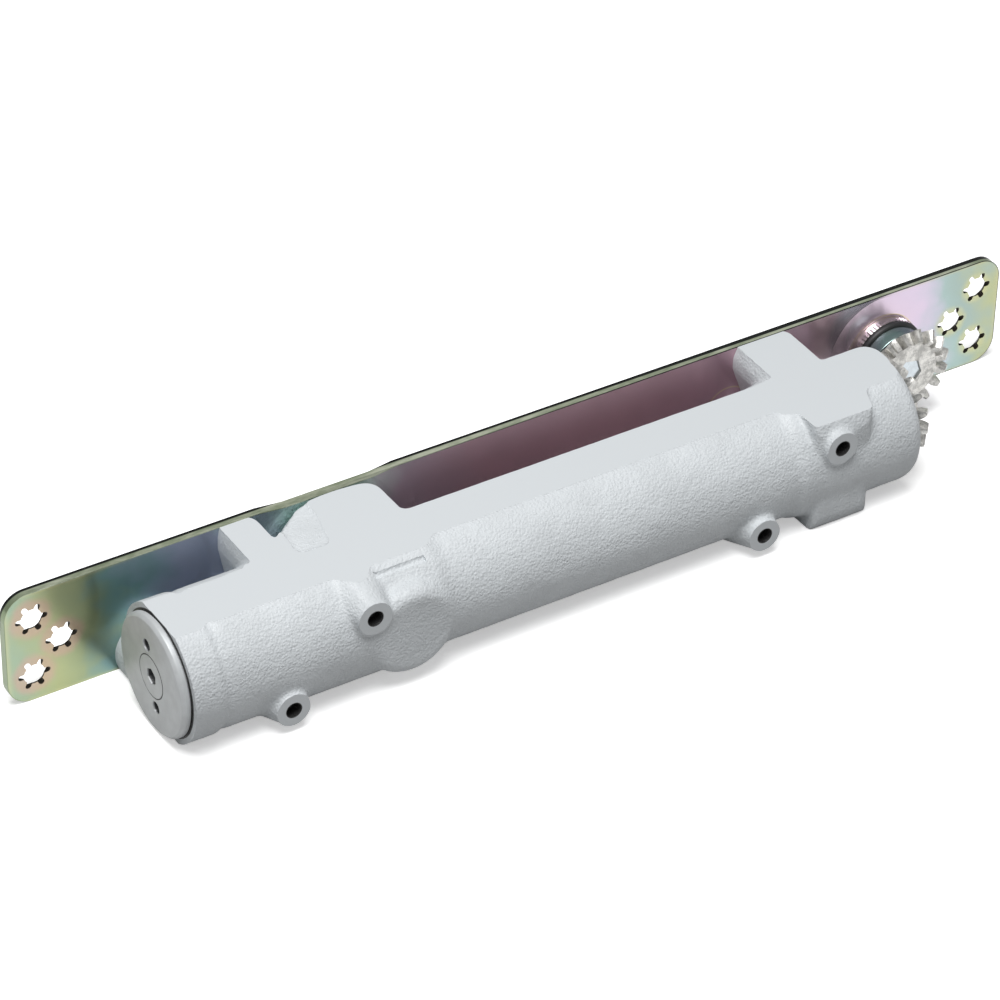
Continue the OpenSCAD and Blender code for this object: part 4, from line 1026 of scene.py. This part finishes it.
class MakeHousing(CloserOperator):
    """Cast body: soft sand-cast skin with machined flats, faces and drillings"""

    bl_idname = "closer.housing"
    bl_label = "Cast body"

    def make(self, scene):
        sizes = scene.closer_casting
        casting = raw_casting(sizes)
        modify(casting, "REMESH", mode="VOXEL", voxel_size=sizes.grid)
        modify(casting, "SMOOTH", factor=0.5, iterations=sizes.softening)
        apply_modifiers(casting)
        roughen(casting, sizes.waviness, 0.0035)
        machined = Solid().block(
            (BODY_LEFT, -FACE_DEPTH, -FLAT_Z), (BODY_RIGHT + 5, -PLATE_THICKNESS, FLAT_Z)
        )
        cut(casting, machined.make("machined"), "INTERSECT")
        wide, narrow = (radius + 0.02 for radius in DISH_RADII)
        depth = DISH_DEPTH + 0.001
        dish = Solid().turned(
            [(0, 0), (wide, 0), (wide, PLATE_THICKNESS), (narrow, depth), (0, depth)], inward(SPINDLE_X)
        )
        cut(casting, dish.make("dish_relief"))
        bore = Solid().turned(
            [(0, BODY_LEFT - 1), (CAP_THREAD, BODY_LEFT - 1), (CAP_THREAD, CAP_THREAD_END),
             (MAIN_BORE, CAP_THREAD_END), (MAIN_BORE, MAIN_BORE_END), (GEAR_END_BORE, MAIN_BORE_END),
             (GEAR_END_BORE, BODY_RIGHT + 1.5), (0, BODY_RIGHT + 1.5)],
            along_x(BODY_DEPTH)
        )
        cut(casting, bore.make("bore"))
        opening = Solid().turned(
            [(0, LOBE_TOP), (CARRIER_BORE, LOBE_TOP), (CARRIER_BORE, BODY_DEPTH), (RACE_BORE, BODY_DEPTH),
             (RACE_BORE, RACE_END), (0, RACE_END)],
            inward(SPINDLE_X)
        )
        cut(casting, opening.make("opening"))
        drillings = Solid()
        for places, radius, low, high, steps in (
            (BOSSES, BOSS_BORE, BODY_DEPTH, FACE_DEPTH + 1.2, 40),
            (SCREWS, SCREW_BORE, 1, 12.5, 32),
            (VALVES, VALVE_BORE, 1, 14.5, 32),
        ):
            for x, z in places:
                drillings.rod(radius, low, high, inward(x, z), steps)
        cut(casting, drillings.make("drillings"))
        groove = Solid().rod(GROOVE_RADIUS, *GROOVE, along_x(BODY_DEPTH + GROOVE_OFF_AXIS, FLAT_Z - 0.9), 20)
        cut(casting, groove.make("groove"))
        shade(casting, "casting", 40)
        crisp_flats(casting)
        place_piece(casting, "housing")


class MakeFaceplate(CloserOperator):
    """Faceplate with its broken edges and iridescent passivation"""

    bl_idname = "closer.faceplate"
    bl_label = "Faceplate"

    def make(self, scene):
        width = scene.closer_finish.plate_edge
        plate = broken_edges("mounting_plate", "faceplate", width, "faceplate", smooth=13)
        crisp_flats(plate)
        broken_edges("plate_screws", "faceplate_screws", 0.0001, "zinc_screws", 1, 50)


class MakeCap(CloserOperator):
    """End cap with its centre plug and seal"""

    bl_idname = "closer.cap"
    bl_label = "End cap"

    def make(self, scene):
        width = scene.closer_finish.turned_edge
        broken_edges("end_cap", "screwed_cap", width, "cap_face")
        broken_edges("cap_center_plug", "cap_plug", width, "cap_face")
        paint("cap_seal_ring")
        # The balls in the bosses' bores are drawn near black, as painted shade.
        broken_edges("channel_plugs", "boss_balls", 0.00001, "unlit_steel", 1, 60)


class MakeGears(CloserOperator):
    """The two bevel gears, with rounded tooth edges"""

    bl_idname = "closer.gears"
    bl_label = "Bevel gears"

    def make(self, scene):
        width = scene.closer_finish.tooth_edge
        broken_edges("spring_gear", "driven_gear", width, "sintered_steel")
        broken_edges("adjuster_gear", "driving_gear", width, "sintered_steel")


class MakeAdjuster(CloserOperator):
    """Spring adjuster: bush, serrations, seal, washer and shaft"""

    bl_idname = "closer.adjuster"
    bl_label = "Spring adjuster"

    def make(self, scene):
        sizes = scene.closer_finish
        broken_edges("adjuster_bush", "riveted_bush", sizes.turned_edge, "zinc_bush")
        teeth = grow_serrations("bush_serrations", "zinc_bush", sizes.serrations)
        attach(teeth, BODY_OF["adjuster_bush"])
        broken_edges("adjuster_shaft", "adjuster_spindle", sizes.turned_edge, "zinc_shaft")
        paint("adjuster_seal")
        paint("adjuster_washer")


class MakeSpindle(CloserOperator):
    """Cam spindle with its bearings, carrier and seal"""

    bl_idname = "closer.spindle"
    bl_label = "Spindle"

    def make(self, scene):
        width = scene.closer_finish.turned_edge
        broken_edges("cam_spindle", "heart_cam_spindle", width, "hardened_steel", angle=35)
        broken_edges("bearing_carrier", "screwed_carrier", width, "turned_steel")
        for side in ("upper", "lower"):
            paint(f"{side}_bearing_race")
            paint(f"{side}_needles")
        paint("spindle_seal")


class MakePistons(CloserOperator):
    """Both pistons with their rollers, pins, seals and check balls"""

    bl_idname = "closer.pistons"
    bl_label = "Pistons"

    def make(self, scene):
        width = scene.closer_finish.turned_edge
        for side in ("spring", "damping"):
            broken_edges(f"{side}_piston", f"{side}_side_piston", width, "hardened_steel")
            for part in ("roller", "roller_pin", "piston_seal", "check_ball"):
                paint(f"{side}_{part}")


class MakeSprings(CloserOperator):
    """Closing spring and return spring"""

    bl_idname = "closer.springs"
    bl_label = "Springs"

    def make(self, scene):
        axis = (-BODY_DEPTH * MM, 0)
        low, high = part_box("closing_spring")
        wire = CLOSING_WIRE * MM
        radius = (high.y - low.y) / 2 - wire
        left, right = low.x + wire, high.x - wire
        middle = left + (right - left) * 5 / 11
        for name, start, end, turns, ends, bodies in (
            ("closing_coil_left", left, middle, 5, (low.x, middle), ("spring_piston_set", "closer")),
            ("closing_coil_right", middle, right, 6, (middle, high.x), ("closer", "nut")),
        ):
            piece = grow_coil(name, "spring_steel", radius, wire, turns, start - wire, end - start + 2 * wire)
            stretch_piece(piece, "closing_spring", bodies, (ends[0], *axis), (ends[1], *axis))
        low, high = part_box("return_spring")
        wire = RETURN_WIRE * MM
        radius = (high.y - low.y) / 2 - wire
        piece = grow_coil("return_coil", "spring_steel", radius, wire, 5, low.x, high.x - low.x)
        ends = (low.x, *axis), (high.x, *axis)
        stretch_piece(piece, "return_spring", ("closer", "damping_piston_set"), *ends)


class MakeSpringSetting(CloserOperator):
    """Spring nut, adjusting screw, thrust washer, seal and retaining ring"""

    bl_idname = "closer.spring_setting"
    bl_label = "Spring setting"

    def make(self, scene):
        width = scene.closer_finish.turned_edge
        broken_edges("spring_nut", "travelling_nut", width, "hardened_steel")
        broken_edges("adjusting_screw", "setting_screw", width, "turned_steel")
        for node in ("thrust_washer", "screw_seal", "gear_retaining_ring"):
            paint(node)


class MakeValves(CloserOperator):
    """Regulating valves and their seals"""

    bl_idname = "closer.valves"
    bl_label = "Valves"

    def make(self, scene):
        for node in ("closing_valve", "latching_valve", "backcheck_valve"):
            broken_edges(node, f"{node}_body", 0.00008, "brass", 1)
        paint("valve_seals")


class MakeStage(CloserOperator):
    """Pale table, soft light and the camera"""

    bl_idname = "closer.stage"
    bl_label = "Stage"

    def make(self, scene):
        lights = scene.closer_lights
        table = bpy.data.meshes.new("table")
        corners = [
            (x * TABLE_REACH, y * TABLE_REACH, TABLE_LEVEL) for x, y in ((-1, -1), (1, -1), (1, 1), (-1, 1))
        ]
        table.from_pydata(corners, [], [(0, 1, 2, 3)])
        table.materials.append(material("floor"))
        ground = new_object("table", table)
        scene.world = bpy.data.worlds.new("studio")
        sky = Shading(scene.world)
        mirrored = sky.mix(sky.seen_by("Glossy"), (lights.sky,) * 3, (lights.mirrored,) * 3)
        shown = sky.mix(sky.seen_by("Camera"), mirrored, (1, 1, 1))
        sky.plug(sky.tree.nodes["Background"].inputs["Color"], shown)
        for name, place, power, width in (
            ("key_light", (-0.2, -0.22, 1.18), lights.key, 0.7),
            ("fill_light", (-1.1, -0.25, 0.6), lights.fill, 0.5),
        ):
            lamp = bpy.data.lights.new(name, "AREA")
            lamp.energy, lamp.size = power, width
            holder = new_object(name, lamp)
            turn = (-Vector(place)).to_track_quat("-Z", "Y").to_matrix().to_4x4()
            holder.matrix_world = Matrix.Translation(place) @ turn
        scene.view_settings.view_transform = "Standard"
        lens = bpy.data.cameras.new("camera")
        lens.sensor_width, lens.lens = SENSOR_WIDTH, FOCAL_LENGTH
        lens.clip_start, lens.clip_end = 0.05, 20
        camera = new_object("camera", lens)
        camera.matrix_world = Matrix.Translation(CAMERA_PLACE)
        for angle, axis in CAMERA_TURNS:
            camera.matrix_world = camera.matrix_world @ Matrix.Rotation(angle, 4, axis)
        scene.camera = camera


OPERATORS = (
    MakeHousing, MakeFaceplate, MakeCap, MakeGears, MakeAdjuster, MakeSpindle, MakePistons, MakeSprings,
    MakeSpringSetting, MakeValves, MakeStage,
)


class CloserPanel(bpy.types.Panel):
    """Sizes, colours and pieces of the door closer"""

    bl_idname = "VIEW3D_PT_closer"
    bl_label = "Door closer"
    bl_space_type = "VIEW_3D"
    bl_region_type = "UI"
    bl_category = "Closer"

    def draw(self, context):
        for name in GROUPS:
            group = getattr(context.scene, name)
            box = self.layout.box()
            for key in group.__annotations__:
                box.prop(group, key)
        for operator in OPERATORS:
            self.layout.operator(operator.bl_idname)


def register():
    for group in (*GROUPS.values(), *OPERATORS, CloserPanel):
        bpy.utils.register_class(group)
    for name, group in GROUPS.items():
        setattr(bpy.types.Scene, name, PointerProperty(type=group))


def unregister():
    for name in GROUPS:
        delattr(bpy.types.Scene, name)
    for group in (CloserPanel, *reversed(OPERATORS), *reversed(GROUPS.values())):
        bpy.utils.unregister_class(group)


def main():
    register()
    for operator in OPERATORS:
        category, name = operator.bl_idname.split(".")
        getattr(getattr(bpy.ops, category), name)()


if __name__ == "__main__":
    main()
